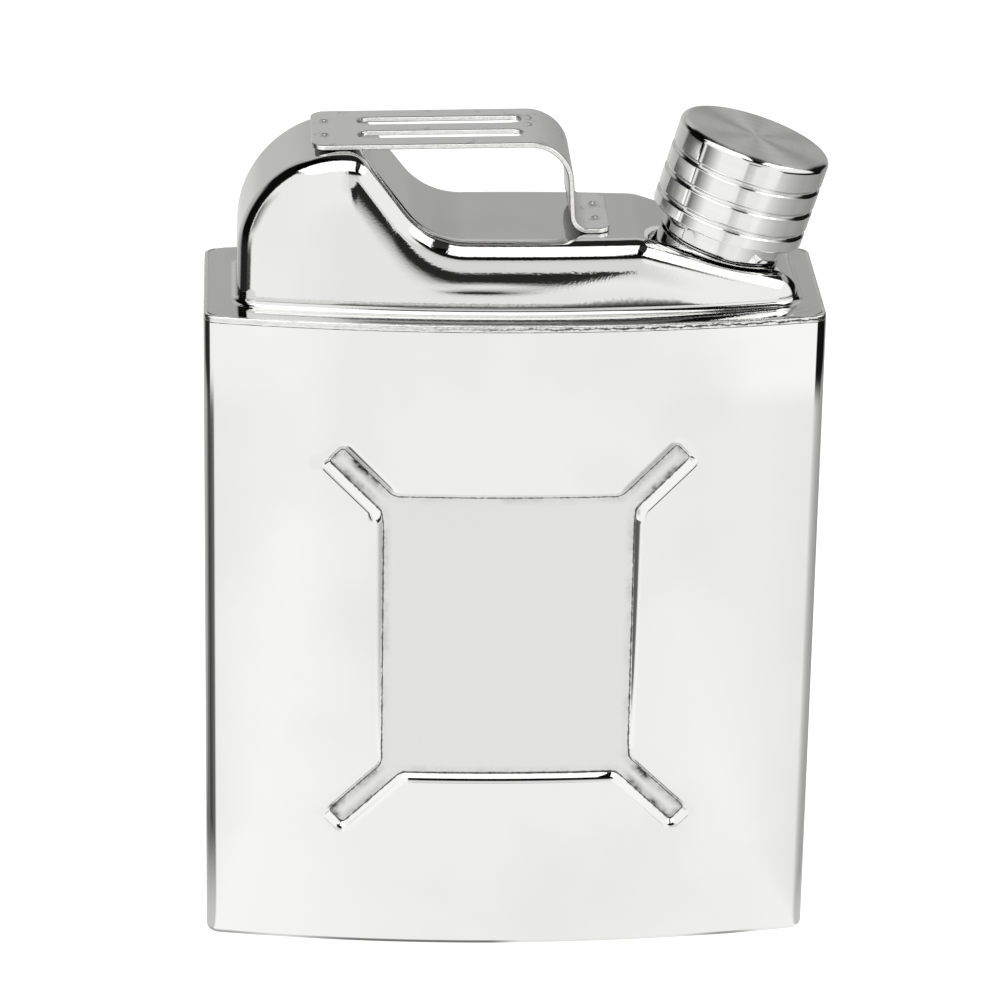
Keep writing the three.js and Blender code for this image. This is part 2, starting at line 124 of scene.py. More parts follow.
def box_distance(x: Array, z: Array, width: float, height: float, corner: float) -> Array:
    """Distance from a rounded rectangle about the origin, negative inside.

    Outside it is the length of what sticks out past the inner rectangle, less the corner's radius.

    Args:
        x: First coordinates.
        z: Second coordinates.
        width: Size along x.
        height: Size along z.
        corner: Radius of the corners.

    Returns:
        The distances.
    """
    past_x = np.abs(x) - width / 2 + corner
    past_z = np.abs(z) - height / 2 + corner
    outside = np.hypot(np.maximum(past_x, 0), np.maximum(past_z, 0))
    return outside + np.minimum(np.maximum(past_x, past_z), 0) - corner


def ripple(place: Array, longest: float, shortest: float, count: int, seed: int) -> Array:
    """Irregular wave along a closed line: a sum of sines of random phase, scaled to about -1 to 1.

    Args:
        place: Places along the line in turns, so that the wave closes.
        longest: Waves in a turn of the slowest sine.
        shortest: Waves in a turn of the fastest sine.
        count: How many sines are summed.
        seed: Start of the random phases.

    Returns:
        The wave's height at each place.
    """
    draw = np.random.default_rng(seed)
    waves = np.round(np.geomspace(longest, shortest, count))
    phases = draw.uniform(0, 2 * pi, count)
    return np.sin(2 * pi * place[..., None] * waves + phases).sum(axis=-1) / sqrt(2 * count)


@dataclass
class Path:
    """A line in a plane: its points, the normals on its left and the length up to each point."""

    points: Array
    normals: Array
    length: Array

    def at(self, length: Array) -> tuple[Array, Array]:
        """Point and normal at any length, between the path's own points."""
        place = stack(*(np.interp(length, self.length, self.points[:, k]) for k in (0, 1)))
        normal = stack(*(np.interp(length, self.length, self.normals[:, k]) for k in (0, 1)))
        return place, unit(normal)


def rounded_path(corners: list[tuple[float, float, float]], run: float, bend: float) -> Path:
    """Path through corners, each rounded by an arc that touches the two runs beside it.

    An arc starts before its corner by the radius times the tangent of half the turn.

    Args:
        corners: Corners as x, z and radius. The first and the last have no arc.
        run: Longest step along a straight run.
        bend: Largest turn of one step, in radians.

    Returns:
        The path.
    """
    spots = np.array([corner[:2] for corner in corners])
    points, headings = [], []
    start = spots[0]
    for i in range(1, len(spots)):
        heading = atan2(*(spots[i] - spots[i - 1])[::-1])
        turn = tangent = 0.0
        if i < len(spots) - 1:
            following = atan2(*(spots[i + 1] - spots[i])[::-1])
            turn = (following - heading + pi) % (2 * pi) - pi
            tangent = corners[i][2] * tan(abs(turn) / 2)
        ahead = np.array([cos(heading), sin(heading)])
        end = spots[i] - ahead * tangent
        parts = max(1, ceil(np.linalg.norm(end - start) / run))
        share = np.arange(parts)[:, None] / parts
        points.append(start + (end - start) * share)
        headings.append(np.full(parts, heading))
        start = end
        if turn:
            side = np.array([-sin(heading), cos(heading)]) * np.sign(turn)
            centre = end + side * corners[i][2]
            steps = max(2, ceil(abs(turn) / bend))
            along = heading + turn * np.arange(steps) / steps
            outward = stack(np.sin(along), -np.cos(along)) * np.sign(turn)
            points.append(centre + outward * corners[i][2])
            headings.append(along)
            last = heading + turn
            start = centre + np.array([sin(last), -cos(last)]) * np.sign(turn) * corners[i][2]
    points.append(start[None])
    headings.append(headings[-1][-1:])
    line = np.concatenate(points)
    angle = np.concatenate(headings)
    steps = np.linalg.norm(np.diff(line, axis=0), axis=1)
    return Path(line, stack(-np.sin(angle), np.cos(angle)), np.concatenate([[0], np.cumsum(steps)]))


def closed_path(corners: list[tuple[float, float, float]], run: float, bend: float) -> Path:
    """Rounded path round a polygon, from the middle of its closing run back to it."""
    middle = (np.array(corners[0][:2]) + np.array(corners[-1][:2])) / 2
    ends = [(middle[0], middle[1], 0.0)]
    return rounded_path(ends + corners + ends, run, bend)


@dataclass
class Quads:
    """Faces with four corners as whole arrays, ready to be joined into a mesh.

    Attributes:
        points: Corner places in millimetres, (faces, 4, 3).
        normals: Shading normals at the corners, (faces, 4, 3).
        marks: Share of the surface mark at the corners, which steers a finish's colour, painted shade
            and roughness, (faces, 4).
        uv: Pattern coordinates at the corners in millimetres, (faces, 4, 2).
    """

    points: Array
    normals: Array
    marks: Array
    uv: Array

    @classmethod
    def join(cls, parts: list["Quads"]) -> "Quads":
        """All faces of several sets as one set."""
        names = ("points", "normals", "marks", "uv")
        return cls(*(np.concatenate([getattr(part, name) for part in parts]) for name in names))


def grid_quads(
    points: Array,
    normals: Array,
    marks: Array | None = None,
    uv: Array | None = None,
    kept: Array | None = None,
) -> Quads:
    """Faces between the rows and columns of a grid.

    Args:
        points: Grid of places, (rows, columns, 3).
        normals: Grid of normals, shaped as the points.
        marks: Grid of marks, or none.
        uv: Grid of pattern coordinates, or none.
        kept: Faces to keep, (rows - 1, columns - 1), or none for all.

    Returns:
        The faces.
    """
    rows, columns = points.shape[:2]
    marks = np.zeros((rows, columns)) if marks is None else marks
    uv = np.zeros((rows, columns, 2)) if uv is None else uv
    i, j = np.nonzero(np.ones((rows - 1, columns - 1), bool) if kept is None else kept)
    at = (stack(i, i, i + 1, i + 1), stack(j, j + 1, j + 1, j))
    return Quads(points[at], normals[at], marks[at], uv[at])


def wall_quads(outer: Array, inner: Array, facing: Array, kept: Array, rims: set[Rim]) -> Quads:
    """Walls between the two faces of a sheet, along every edge of its kept part.

    Args:
        outer: Grid of places on the outer face.
        inner: Grid of places on the inner face.
        facing: Grid of normals for the walls, which point out of the material.
        kept: Faces of the grid that are part of the sheet.
        rims: Borders of the grid that get a wall.

    Returns:
        The walls.
    """
    around = np.pad(kept, 1)
    borders = {
        Rim.FIRST_ROW: (0, slice(1, -1), kept[0]),
        Rim.LAST_ROW: (-1, slice(1, -1), kept[-1]),
        Rim.FIRST_COLUMN: (slice(1, -1), 0, kept[:, 0]),
        Rim.LAST_COLUMN: (slice(1, -1), -1, kept[:, -1]),
    }
    for rim, (row, column, neighbour) in borders.items():
        if rim not in rims:
            around[row, column] = neighbour
    i, j = np.nonzero(around[:-1, 1:-1] != around[1:, 1:-1])
    m, n = np.nonzero(around[1:-1, :-1] != around[1:-1, 1:])
    first = (np.concatenate([i, m]), np.concatenate([j, n]))
    second = (np.concatenate([i, m + 1]), np.concatenate([j + 1, n]))
    points = np.stack([outer[first], outer[second], inner[second], inner[first]], axis=1)
    normals = np.stack([facing[first], facing[second], facing[second], facing[first]], axis=1)
    faces = len(points)
    return Quads(points, normals, np.zeros((faces, 4)), np.zeros((faces, 4, 2)))


def make_mesh(name: str, quads: Quads) -> bpy.types.Mesh:
    """Mesh of joined faces, with shared vertices, shading normals, marks and pattern coordinates.

    Each face is turned so that it agrees with its shading normals, and corners that coincide are
    dropped.

    Args:
        name: Name of the mesh.
        quads: The faces.

    Returns:
        The mesh, in metres.
    """
    p = quads.points
    facing = np.cross(p[:, 2] - p[:, 0], p[:, 3] - p[:, 1])
    turned = (facing * quads.normals.sum(axis=1)).sum(axis=-1) < 0
    order = np.where(turned[:, None], np.array([0, 3, 2, 1]), np.arange(4))
    rows = np.arange(len(p))[:, None]
    cells = np.round(p[rows, order] / WELD_DISTANCE).astype(np.int64) + (1 << 20)
    keys = cells[..., 0] << 42 | cells[..., 1] << 21 | cells[..., 2]
    _, first, inverse = np.unique(keys.ravel(), return_index=True, return_inverse=True)
    faces = inverse.reshape(-1, 4)
    repeated = faces == np.roll(faces, -1, axis=1)
    folded = (faces[:, 0] == faces[:, 2]) | (faces[:, 1] == faces[:, 3])
    kept = (repeated.sum(axis=1) <= 1) & ~folded
    used = ~repeated & kept[:, None]
    sides = used.sum(axis=1)[kept]

    mesh = bpy.data.meshes.new(name)
    mesh.vertices.add(len(first))
    mesh.vertices.foreach_set("co", (p[rows, order].reshape(-1, 3)[first] * MM).ravel())
    mesh.loops.add(int(sides.sum()))
    mesh.loops.foreach_set("vertex_index", faces[used].astype(np.int32))
    mesh.polygons.add(len(sides))
    mesh.polygons.foreach_set("loop_start", (np.cumsum(sides) - sides).astype(np.int32))
    mesh.update(calc_edges=True)
    mesh.shade_smooth()
    mesh.uv_layers.new(name="Surface").data.foreach_set("uv", quads.uv[rows, order][used].ravel())
    marks = mesh.attributes.new("mark", "FLOAT", "CORNER")
    marks.data.foreach_set("value", quads.marks[rows, order][used].astype(np.float32))
    mesh.normals_split_custom_set(unit(quads.normals[rows, order][used]))
    return mesh


def add_piece(name: str, parts: list[Quads], finish: Material, body: Body, slot: Slot,
              *nodes: str) -> None:
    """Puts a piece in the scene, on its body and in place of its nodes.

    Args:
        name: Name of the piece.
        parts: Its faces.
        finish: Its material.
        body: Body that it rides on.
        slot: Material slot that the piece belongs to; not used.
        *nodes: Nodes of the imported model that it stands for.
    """
    mesh = make_mesh(name, Quads.join(parts))
    mesh.materials.append(finish)
    piece = bpy.data.objects.new(name, mesh)
    bpy.context.scene.collection.objects.link(piece)
    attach(piece, body.value)
    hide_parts(*nodes)
    log.info("%s: %d vertices, %d faces", name, len(mesh.vertices), len(mesh.polygons))


def linear(colour: str) -> tuple[float, float, float, float]:
    """Linear colour of an sRGB hex value such as #E0E0DE."""
    channels = np.array([int(colour[k:k + 2], 16) / 255 for k in (1, 3, 5)])
    bright = ((channels + 0.055) / 1.055) ** 2.4
    return (*np.where(channels <= 0.04045, channels / 12.92, bright), 1.0)


def add_node(tree: NodeTree, kind: str, inputs: dict[Any, Any] | None = None, out: str = "",
             **settings: Any) -> NodeSocket | None:
    """Adds a node, sets its properties and sets or links its sockets.

    Args:
        tree: Node tree that gets the node.
        kind: Type of the node, without the leading ShaderNode.
        inputs: Values, or sockets to link, for each input by name or number.
        out: Name of the output that is wanted, if it isn't the first one in use.
        **settings: Properties of the node.

    Returns:
        That output, or none from a node that ends the tree.
    """
    made = tree.nodes.new("ShaderNode" + kind)
    for name, value in settings.items():
        setattr(made, name, value)
    for socket, value in (inputs or {}).items():
        if isinstance(value, NodeSocket):
            tree.links.new(value, made.inputs[socket])
        else:
            made.inputs[socket].default_value = value
    in_use = (socket for socket in made.outputs if socket.enabled)
    return made.outputs[out] if out else next(in_use, None)


def new_material(name: str) -> tuple[Material, NodeTree]:
    """An empty node-based material and its tree."""
    material = bpy.data.materials.new(name)
    material.use_nodes = True
    material.node_tree.nodes.clear()
    return material, material.node_tree


def per_metre(size: float) -> float:
    """Scale of a texture on Object coordinates whose features are this many millimetres wide."""
    return 1 / (size * MM)


@dataclass(frozen=True)
class MirrorSheet:
    """Stainless sheet, drawn and then mirror-polished on a buffing wheel.

    The eye sees sharp reflections, with fine buffing lines that fray their edges and a faint wave in
    the sheet. The floor of the pressed panel is a little duller, because the wheel doesn't reach into
    it, and the colour is darker along its crease and in a patchy haze on the floor beside it. On the
    shoulder the same dark line, drawn along the front toe, is painted shade. Deep-drawn sheet also
    keeps a fine peel, and grey streaks painted along its flange stand in for reflected grey bands.
    """

    name: str = "Stainless_steel_mirror_polished"
    colour: str = "#F6F6F5"
    hazy_colour: str = "#F1F1EF"
    dull_colour: str = "#EBEBE9"
    # Darker colour along the crease; along the shoulder's toe it is painted shade.
    crease_dark_colour: str = "#3C3C3A"
    smooth: float = 0.035
    hazy: float = 0.07
    dull: float = 0.17
    crease_dark_roughness: float = 0.42
    haze_size: float = 26.0
    wave_size: float = 14.0
    wave_height: float = 0.01
    line_width: float = 0.4
    line_length: float = 7.0
    line_height: float = 0.0016
    grit_size: float = 0.6
    crease_dark_width: float = 0.19
    crease_dark_spread: tuple[float, float] = (0.4, 1.5)
    panel_dark_width: float = 1.4
    panel_dark_patch: float = 5.0
    panel_middle: tuple[float, float] = (-0.6, 47.15)
    panel_inner: tuple[float, float] = (16.0, 19.4)
    arm_soft: float = 1.5
    arm_dark: tuple[float, float] = (0.35, 2.2)
    peel_size: float = 0.28
    peel_height: float = 0.0
    # Painted reflection: grey streaks along the flange that stand in for reflected grey bands.
    reflected_streak_colour: str = "#D2D2D0"
    streak_width: float = 0.45
    streak_length: float = 16.0

    def in_arms(self, tree: NodeTree, place: NodeSocket) -> NodeSocket:
        """Strength of the dark haze beside the crease, which is greater in the arms: past the inner
        part across and up.
        """
        axes = add_node(tree, "SeparateXYZ", {"Vector": place}).node.outputs
        past = []
        for axis, middle, inner in zip("XZ", self.panel_middle, self.panel_inner):
            away = add_node(tree, "Math", {0: axes[axis], 1: middle * MM}, operation="SUBTRACT")
            size = add_node(tree, "Math", {0: away}, operation="ABSOLUTE")
            past.append(add_node(tree, "Math", {0: size, 1: inner * MM}, operation="SUBTRACT"))
        least = add_node(tree, "Math", {0: past[0], 1: past[1]}, operation="MINIMUM")
        return add_node(tree, "MapRange", {
            "Value": least, "From Max": self.arm_soft * MM,
            "To Min": self.arm_dark[0], "To Max": self.arm_dark[1],
        }, interpolation_type="SMOOTHSTEP")

    def build(self) -> Material:
        """Makes the material.

        The mark tells the distance from the crease, as PressedPanel gives it, or is below 0 by the
        share of the painted grey streaks of reflection, and the pattern coordinates run across and
        along the buffing lines.
        """
        material, tree = new_material(self.name)
        buffed = add_node(tree, "UVMap", uv_map="Surface")
        place = add_node(tree, "TexCoord", out="Object")
        haze = add_node(tree, "TexNoise", {
            "Vector": place, "Scale": per_metre(self.haze_size), "Detail": 3,
        })
        patch = add_node(tree, "MapRange", {
            "Value": haze, "From Min": 0.42, "From Max": 0.68,
        }, interpolation_type="SMOOTHSTEP")
        mark = add_node(tree, "Attribute", attribute_name="mark", out="Fac")
        inward = add_node(tree, "MapRange", {
            "Value": mark, "To Min": -CREASE_REACH, "To Max": CREASE_REACH,
        })
        grit = add_node(tree, "TexNoise", {
            "Vector": place, "Scale": per_metre(self.grit_size), "Detail": 3,
        })
        # Darker colour in a ragged line along the crease and a patchy haze on the panel's floor beside
        # it; along the shoulder's toe the same line is painted shade.
        ragged = add_node(tree, "MapRange", {
            "Value": grit, "From Min": 0.3, "From Max": 0.7,
            "To Min": self.crease_dark_spread[0] * self.crease_dark_width,
            "To Max": self.crease_dark_spread[1] * self.crease_dark_width,
        })
        aside = add_node(tree, "Math", {0: inward}, operation="ABSOLUTE")
        line = add_node(tree, "MapRange", {
            "Value": aside, "From Min": 0.0, "From Max": ragged, "To Min": 1.0, "To Max": 0.0,
        }, interpolation_type="SMOOTHSTEP")
        floor = add_node(tree, "MapRange", {
            "Value": inward, "From Min": -0.1, "From Max": 0.15,
        }, interpolation_type="SMOOTHSTEP")
        dark_patches = add_node(tree, "TexNoise", {
            "Vector": place, "Scale": per_metre(self.panel_dark_patch), "Detail": 2,
        })
        thick = add_node(tree, "MapRange", {
            "Value": dark_patches, "From Min": 0.4, "From Max": 0.66, "To Min": 0.25, "To Max": 1.1,
        }, interpolation_type="SMOOTHSTEP")
        fading = add_node(tree, "MapRange", {
            "Value": aside, "From Max": self.panel_dark_width, "To Min": thick, "To Max": 0.0,
        }, interpolation_type="SMOOTHSTEP")
        placed = add_node(tree, "Math", {
            0: fading, 1: self.in_arms(tree, place),
        }, operation="MULTIPLY")
        patchy = add_node(tree, "Math", {0: placed, 1: grit}, operation="MULTIPLY")
        smear = add_node(tree, "Math", {0: patchy, 1: floor}, operation="MULTIPLY")
        crease_dark = add_node(tree, "Math", {0: line, 1: smear}, operation="MAXIMUM")
        sheet = add_node(tree, "Mix", {
            "Factor": patch, "A": linear(self.colour), "B": linear(self.hazy_colour),
        }, data_type="RGBA")
        # Painted reflection: grey streaks along the flange's middle.
        drawn_out = add_node(tree, "Mapping", {
            "Vector": buffed, "Scale": (1 / self.streak_width, 1 / self.streak_length, 1),
        })
        streaks = add_node(tree, "TexNoise", {"Vector": drawn_out, "Scale": 1, "Detail": 2})
        most = add_node(tree, "MapRange", {"Value": mark, "From Min": 0.0, "From Max": -1.0})
        streak = add_node(tree, "MapRange", {
            "Value": streaks, "From Min": 0.3, "From Max": 0.65, "To Max": most,
        }, interpolation_type="SMOOTHSTEP")
        streaked = add_node(tree, "Mix", {
            "Factor": streak, "A": sheet, "B": linear(self.reflected_streak_colour),
        }, data_type="RGBA")
        pressed = add_node(tree, "Mix", {
            "Factor": floor, "A": streaked, "B": linear(self.dull_colour),
        }, data_type="RGBA")
        # The crease's darker colour mixed in, which is painted shade at the shoulder's toe.
        tone = add_node(tree, "Mix", {
            "Factor": crease_dark, "A": pressed, "B": linear(self.crease_dark_colour),
        }, data_type="RGBA")
        clean = add_node(tree, "MapRange", {
            "Value": patch, "To Min": self.smooth, "To Max": self.hazy,
        })
        dulled = add_node(tree, "MapRange", {
            "Value": floor, "To Min": clean, "To Max": self.dull,
        })
        rough = add_node(tree, "MapRange", {
            "Value": crease_dark, "To Min": dulled, "To Max": self.crease_dark_roughness,
        })
        wave = add_node(tree, "TexNoise", {
            "Vector": place, "Scale": per_metre(self.wave_size), "Detail": 1,
        })
        drawn = add_node(tree, "Mapping", {
            "Vector": buffed, "Scale": (1 / self.line_width, 1 / self.line_length, 1),
        })
        lines = add_node(tree, "TexNoise", {"Vector": drawn, "Scale": 1, "Detail": 2})
        waved = add_node(tree, "Bump", {
            "Height": wave, "Strength": 1, "Distance": self.wave_height * MM,
        })
        lined = add_node(tree, "Bump", {
            "Height": lines, "Normal": waved, "Strength": 1,
            "Distance": self.line_height * MM,
        })
        if self.peel_height:
            peel = add_node(tree, "TexNoise", {
                "Vector": place, "Scale": per_metre(self.peel_size), "Detail": 1,
            })
            lined = add_node(tree, "Bump", {
                "Height": peel, "Normal": lined, "Strength": 1,
                "Distance": self.peel_height * MM,
            })
        shader = add_node(tree, "BsdfPrincipled", {
            "Base Color": tone, "Metallic": 1, "Roughness": rough, "Normal": lined,
        })
        add_node(tree, "OutputMaterial", {"Surface": shader})
        return material


@dataclass(frozen=True)
class SatinStrip:
    """Stainless strip, blanked from satin sheet and bent.

    The eye sees an even soft grey with faint grain along the strip, brighter torn metal on the cut
    edges and a few handling specks. Two small crescent dents are shown as painted shade, and the
    underside near both ends, which the dome and the deck mirror, is painted dark as shade.
    """

    colour: str = "#FAFAF9"
    edge_colour: str = "#FAFAF8"
    speck_colour: str = "#B4B4B4"
    # Painted shade: dark crescents that stand for two small dents.
    scar_shade_colour: str = "#808080"
    # Painted shade on the underside near both ends.
    underside_shade_colour: str = "#3A3A38"
    roughness: float = 0.41
    edge_roughness: float = 0.24
    grain_length: float = 9.0
    grain_width: float = 0.5
    grain_height: float = 0.003
    tear_size: float = 0.45
    tear_height: float = 0.03
    speck_size: float = 2.6
    scar_radius: float = 0.8
    scar_width: float = 0.22
    scar_places: tuple[tuple[float, float], ...] = ((29.1, 3.2), (29.0, 0.4))

    def scars(self, tree: NodeTree, strip: NodeSocket) -> NodeSocket:
        """Share of painted shade for the scars on the strip: rings about the scars' places, kept on the
        far side of each.
        """
        along = add_node(tree, "SeparateXYZ", {"Vector": strip})
        found = 0.0
        for s, t in self.scar_places:
            away = add_node(tree, "VectorMath", {0: strip, 1: (s, t, 0)}, operation="DISTANCE")
            off = add_node(tree, "Math", {0: away, 1: self.scar_radius}, operation="SUBTRACT")
            aside = add_node(tree, "Math", {0: off}, operation="ABSOLUTE")
            ring = add_node(tree, "MapRange", {
                "Value": aside, "From Max": self.scar_width, "To Min": 0.8, "To Max": 0.0,
            }, interpolation_type="SMOOTHSTEP")
            side = add_node(tree, "MapRange", {
                "Value": along, "From Min": s - 0.3, "From Max": s + 0.5,
            })
            arc = add_node(tree, "Math", {0: ring, 1: side}, operation="MULTIPLY")
            found = add_node(tree, "Math", {0: arc, 1: found}, operation="MAXIMUM")
        return found

    def build(self) -> Material:
        """Makes the material.

        The mark is 1 on cut edges and 2 on the underside's painted shade, and the pattern coordinates
        run along the strip.
        """
        material, tree = new_material("Stainless_steel_satin_strip")
        place = add_node(tree, "TexCoord", out="Object")
        strip = add_node(tree, "UVMap", uv_map="Surface")
        mark = add_node(tree, "Attribute", attribute_name="mark", out="Fac")
        cut = add_node(tree, "MapRange", {"Value": mark})
        # Painted shade on the underside near both ends, which the dome and the deck mirror dark.
        underside_shade = add_node(tree, "MapRange", {"Value": mark, "From Min": 1.0, "From Max": 2.0})
        along = add_node(tree, "Mapping", {
            "Vector": strip, "Scale": (1 / self.grain_length, 1 / self.grain_width, 1),
        })
        grain = add_node(tree, "TexNoise", {"Vector": along, "Scale": 1, "Detail": 3})
        specks = add_node(tree, "TexNoise", {
            "Vector": place, "Scale": per_metre(self.speck_size), "Detail": 3,
        })
        speck = add_node(tree, "MapRange", {
            "Value": specks, "From Min": 0.64, "From Max": 0.74, "To Max": 0.5,
        })
        flat = add_node(tree, "Mix", {
            "Factor": speck, "A": linear(self.colour), "B": linear(self.speck_colour),
        }, data_type="RGBA")
        # Painted shade of the scars' dents.
        scar_shaded = add_node(tree, "Mix", {
            "Factor": self.scars(tree, strip), "A": flat, "B": linear(self.scar_shade_colour),
        }, data_type="RGBA")
        edged = add_node(tree, "Mix", {
            "Factor": cut, "A": scar_shaded, "B": linear(self.edge_colour),
        }, data_type="RGBA")
        tone = add_node(tree, "Mix", {
            "Factor": underside_shade, "A": edged, "B": linear(self.underside_shade_colour),
        }, data_type="RGBA")
        face = add_node(tree, "MapRange", {
            "Value": grain, "To Min": self.roughness - 0.05, "To Max": self.roughness + 0.05,
        })
        rough = add_node(tree, "MapRange", {
            "Value": cut, "To Min": face, "To Max": self.edge_roughness,
        })
        tear = add_node(tree, "TexNoise", {
            "Vector": place, "Scale": per_metre(self.tear_size), "Detail": 2,
        })
        torn = add_node(tree, "Math", {0: tear, 1: cut}, operation="MULTIPLY")
        grained = add_node(tree, "Bump", {
            "Height": grain, "Strength": 1, "Distance": self.grain_height * MM,
        })
        normal = add_node(tree, "Bump", {
            "Height": torn, "Normal": grained, "Strength": 1, "Distance": self.tear_height * MM,
        })
        shader = add_node(tree, "BsdfPrincipled", {
            "Base Color": tone, "Metallic": 1, "Roughness": rough, "Normal": normal,
        })
        add_node(tree, "OutputMaterial", {"Surface": shader})
        return material


@dataclass(frozen=True)
class TurnedSteel:
    """Stainless bar, turned on a lathe with a fine feed and left bright.

    The eye sees rings round the axis that smear reflections along the cut's section, so the sides show
    straight bands and the end, which is cut more coarsely, shows a streak through its centre.
    """

    colour: str = "#F4F4F3"
    dark_colour: str = "#E8E8E6"
    side_roughness: float = 0.045
    end_roughness: float = 0.36
    smear: float = 0.85
    ring_width: float = 0.25
    ring_height: float = 0.0004
    band_width: float = 1.6

    def build(self) -> Material:
        """Makes the material.

        The first pattern coordinate runs along the turned section, and the mark is 1 on end faces.
        """
        material, tree = new_material("Stainless_steel_turned")
        section = add_node(tree, "UVMap", uv_map="Surface")
        along = add_node(tree, "SeparateXYZ", {"Vector": section})
        rings = add_node(tree, "TexNoise", {
            "W": along, "Scale": 1 / self.ring_width, "Detail": 2,
        }, noise_dimensions="1D")
        bands = add_node(tree, "TexNoise", {
            "W": along, "Scale": 1 / self.band_width, "Detail": 2,
        }, noise_dimensions="1D")
        tone = add_node(tree, "Mix", {
            "Factor": bands, "A": linear(self.colour), "B": linear(self.dark_colour),
        }, data_type="RGBA")
        end = add_node(tree, "Attribute", attribute_name="mark", out="Fac")
        cut = add_node(tree, "MapRange", {
            "Value": end, "To Min": self.side_roughness, "To Max": self.end_roughness,
        })
        uneven = add_node(tree, "MapRange", {
            "Value": rings, "From Min": 0.2, "From Max": 0.8, "To Min": 0.75, "To Max": 1.25,
        })
        rough = add_node(tree, "Math", {0: cut, 1: uneven}, operation="MULTIPLY")
        normal = add_node(tree, "Bump", {
            "Height": rings, "Strength": 1, "Distance": self.ring_height * MM,
        })
        tangent = add_node(tree, "Tangent", direction_type="UV_MAP", uv_map="Surface")
        shader = add_node(tree, "BsdfPrincipled", {
            "Base Color": tone, "Metallic": 1, "Roughness": rough, "Anisotropic": self.smear,
            "Normal": normal, "Tangent": tangent,
        })
        add_node(tree, "OutputMaterial", {"Surface": shader})
        return material


@dataclass(frozen=True)
class DressedWeld:
    """Seam weld between two steel sheets, ground back by hand along the seam.

    The eye sees a bright band with darker streaks and pits drawn out along it, and a ragged line where
    the seam wasn't filled. On the left it was ground further back, so that it is bright and almost
    plain.
    """

    colour: str = "#F2F2F0"
    pit_colour: str = "#888886"
    line_colour: str = "#2E2E2C"
    line_place: float = 1.0
    line_wander: float = 0.14
    line_width: tuple[float, float] = (0.1, 0.34)
    wander_length: float = 1.8
    dressed: tuple[float, float] = (-22.0, 14.0)
    dressed_rest: float = 0.12
    bright: float = 0.1
    dull: float = 0.3
    streak_length: float = 2.2
    streak_height: float = 0.28
    pit_size: float = 0.6
    relief: float = 0.035

    def ragged_line(self, tree: NodeTree, seam: NodeSocket, pits: NodeSocket) -> NodeSocket:
        """Share of a line that wanders along the band and narrows where there are few pits."""
        axes = add_node(tree, "SeparateXYZ", {"Vector": seam}).node.outputs
        noise = add_node(tree, "TexNoise", {
            "W": axes["X"], "Scale": 1 / self.wander_length, "Detail": 3,
        }, noise_dimensions="1D")
        middle = add_node(tree, "MapRange", {
            "Value": noise, "From Min": 0.25, "From Max": 0.75,
            "To Min": self.line_place - self.line_wander, "To Max": self.line_place + self.line_wander,
        })
        off = add_node(tree, "Math", {0: axes["Y"], 1: middle}, operation="SUBTRACT")
        aside = add_node(tree, "Math", {0: off}, operation="ABSOLUTE")
        width = add_node(tree, "MapRange", {
            "Value": pits, "From Min": 0.38, "From Max": 0.62,
            "To Min": self.line_width[0], "To Max": self.line_width[1],
        })
        return add_node(tree, "MapRange", {
            "Value": aside, "From Max": width, "To Min": 1.0, "To Max": 0.0,
        }, interpolation_type="SMOOTHSTEP")

    def build(self) -> Material:
        """Makes the material. The pattern coordinates run along the seam and round its section."""
        material, tree = new_material("Stainless_steel_dressed_weld")
        seam = add_node(tree, "UVMap", uv_map="Surface")
        place = add_node(tree, "TexCoord", out="Object")
        left = add_node(tree, "SeparateXYZ", {"Vector": place})
        raw = add_node(tree, "MapRange", {
            "Value": left, "From Min": self.dressed[0] * MM, "From Max": self.dressed[1] * MM,
            "To Min": self.dressed_rest,
        }, interpolation_type="SMOOTHSTEP")
        drawn = add_node(tree, "Mapping", {
            "Vector": seam, "Scale": (1 / self.streak_length, 1 / self.streak_height, 1),
        })
        streaks = add_node(tree, "TexNoise", {"Vector": drawn, "Scale": 1, "Detail": 3})
        pits = add_node(tree, "TexNoise", {"Vector": seam, "Scale": 1 / self.pit_size, "Detail": 2})
        both = add_node(tree, "Math", {0: streaks, 1: pits}, operation="MULTIPLY")
        pit = add_node(tree, "MapRange", {
            "Value": both, "From Min": 0.28, "From Max": 0.46, "To Max": raw,
        }, interpolation_type="SMOOTHSTEP")
        pitted = add_node(tree, "Mix", {
            "Factor": pit, "A": linear(self.colour), "B": linear(self.pit_colour),
        }, data_type="RGBA")
        line = add_node(tree, "Math", {
            0: self.ragged_line(tree, seam, pits), 1: raw,
        }, operation="MULTIPLY")
        tone = add_node(tree, "Mix", {
            "Factor": line, "A": pitted, "B": linear(self.line_colour),
        }, data_type="RGBA")
        rough = add_node(tree, "MapRange", {
            "Value": streaks, "From Min": 0.35, "From Max": 0.65,
            "To Min": self.bright, "To Max": self.dull,
        })
        normal = add_node(tree, "Bump", {
            "Height": both, "Strength": 1, "Distance": self.relief * MM,
        })
        shader = add_node(tree, "BsdfPrincipled", {
            "Base Color": tone, "Metallic": 1, "Roughness": rough, "Normal": normal,
        })
        add_node(tree, "OutputMaterial", {"Surface": shader})
        return material


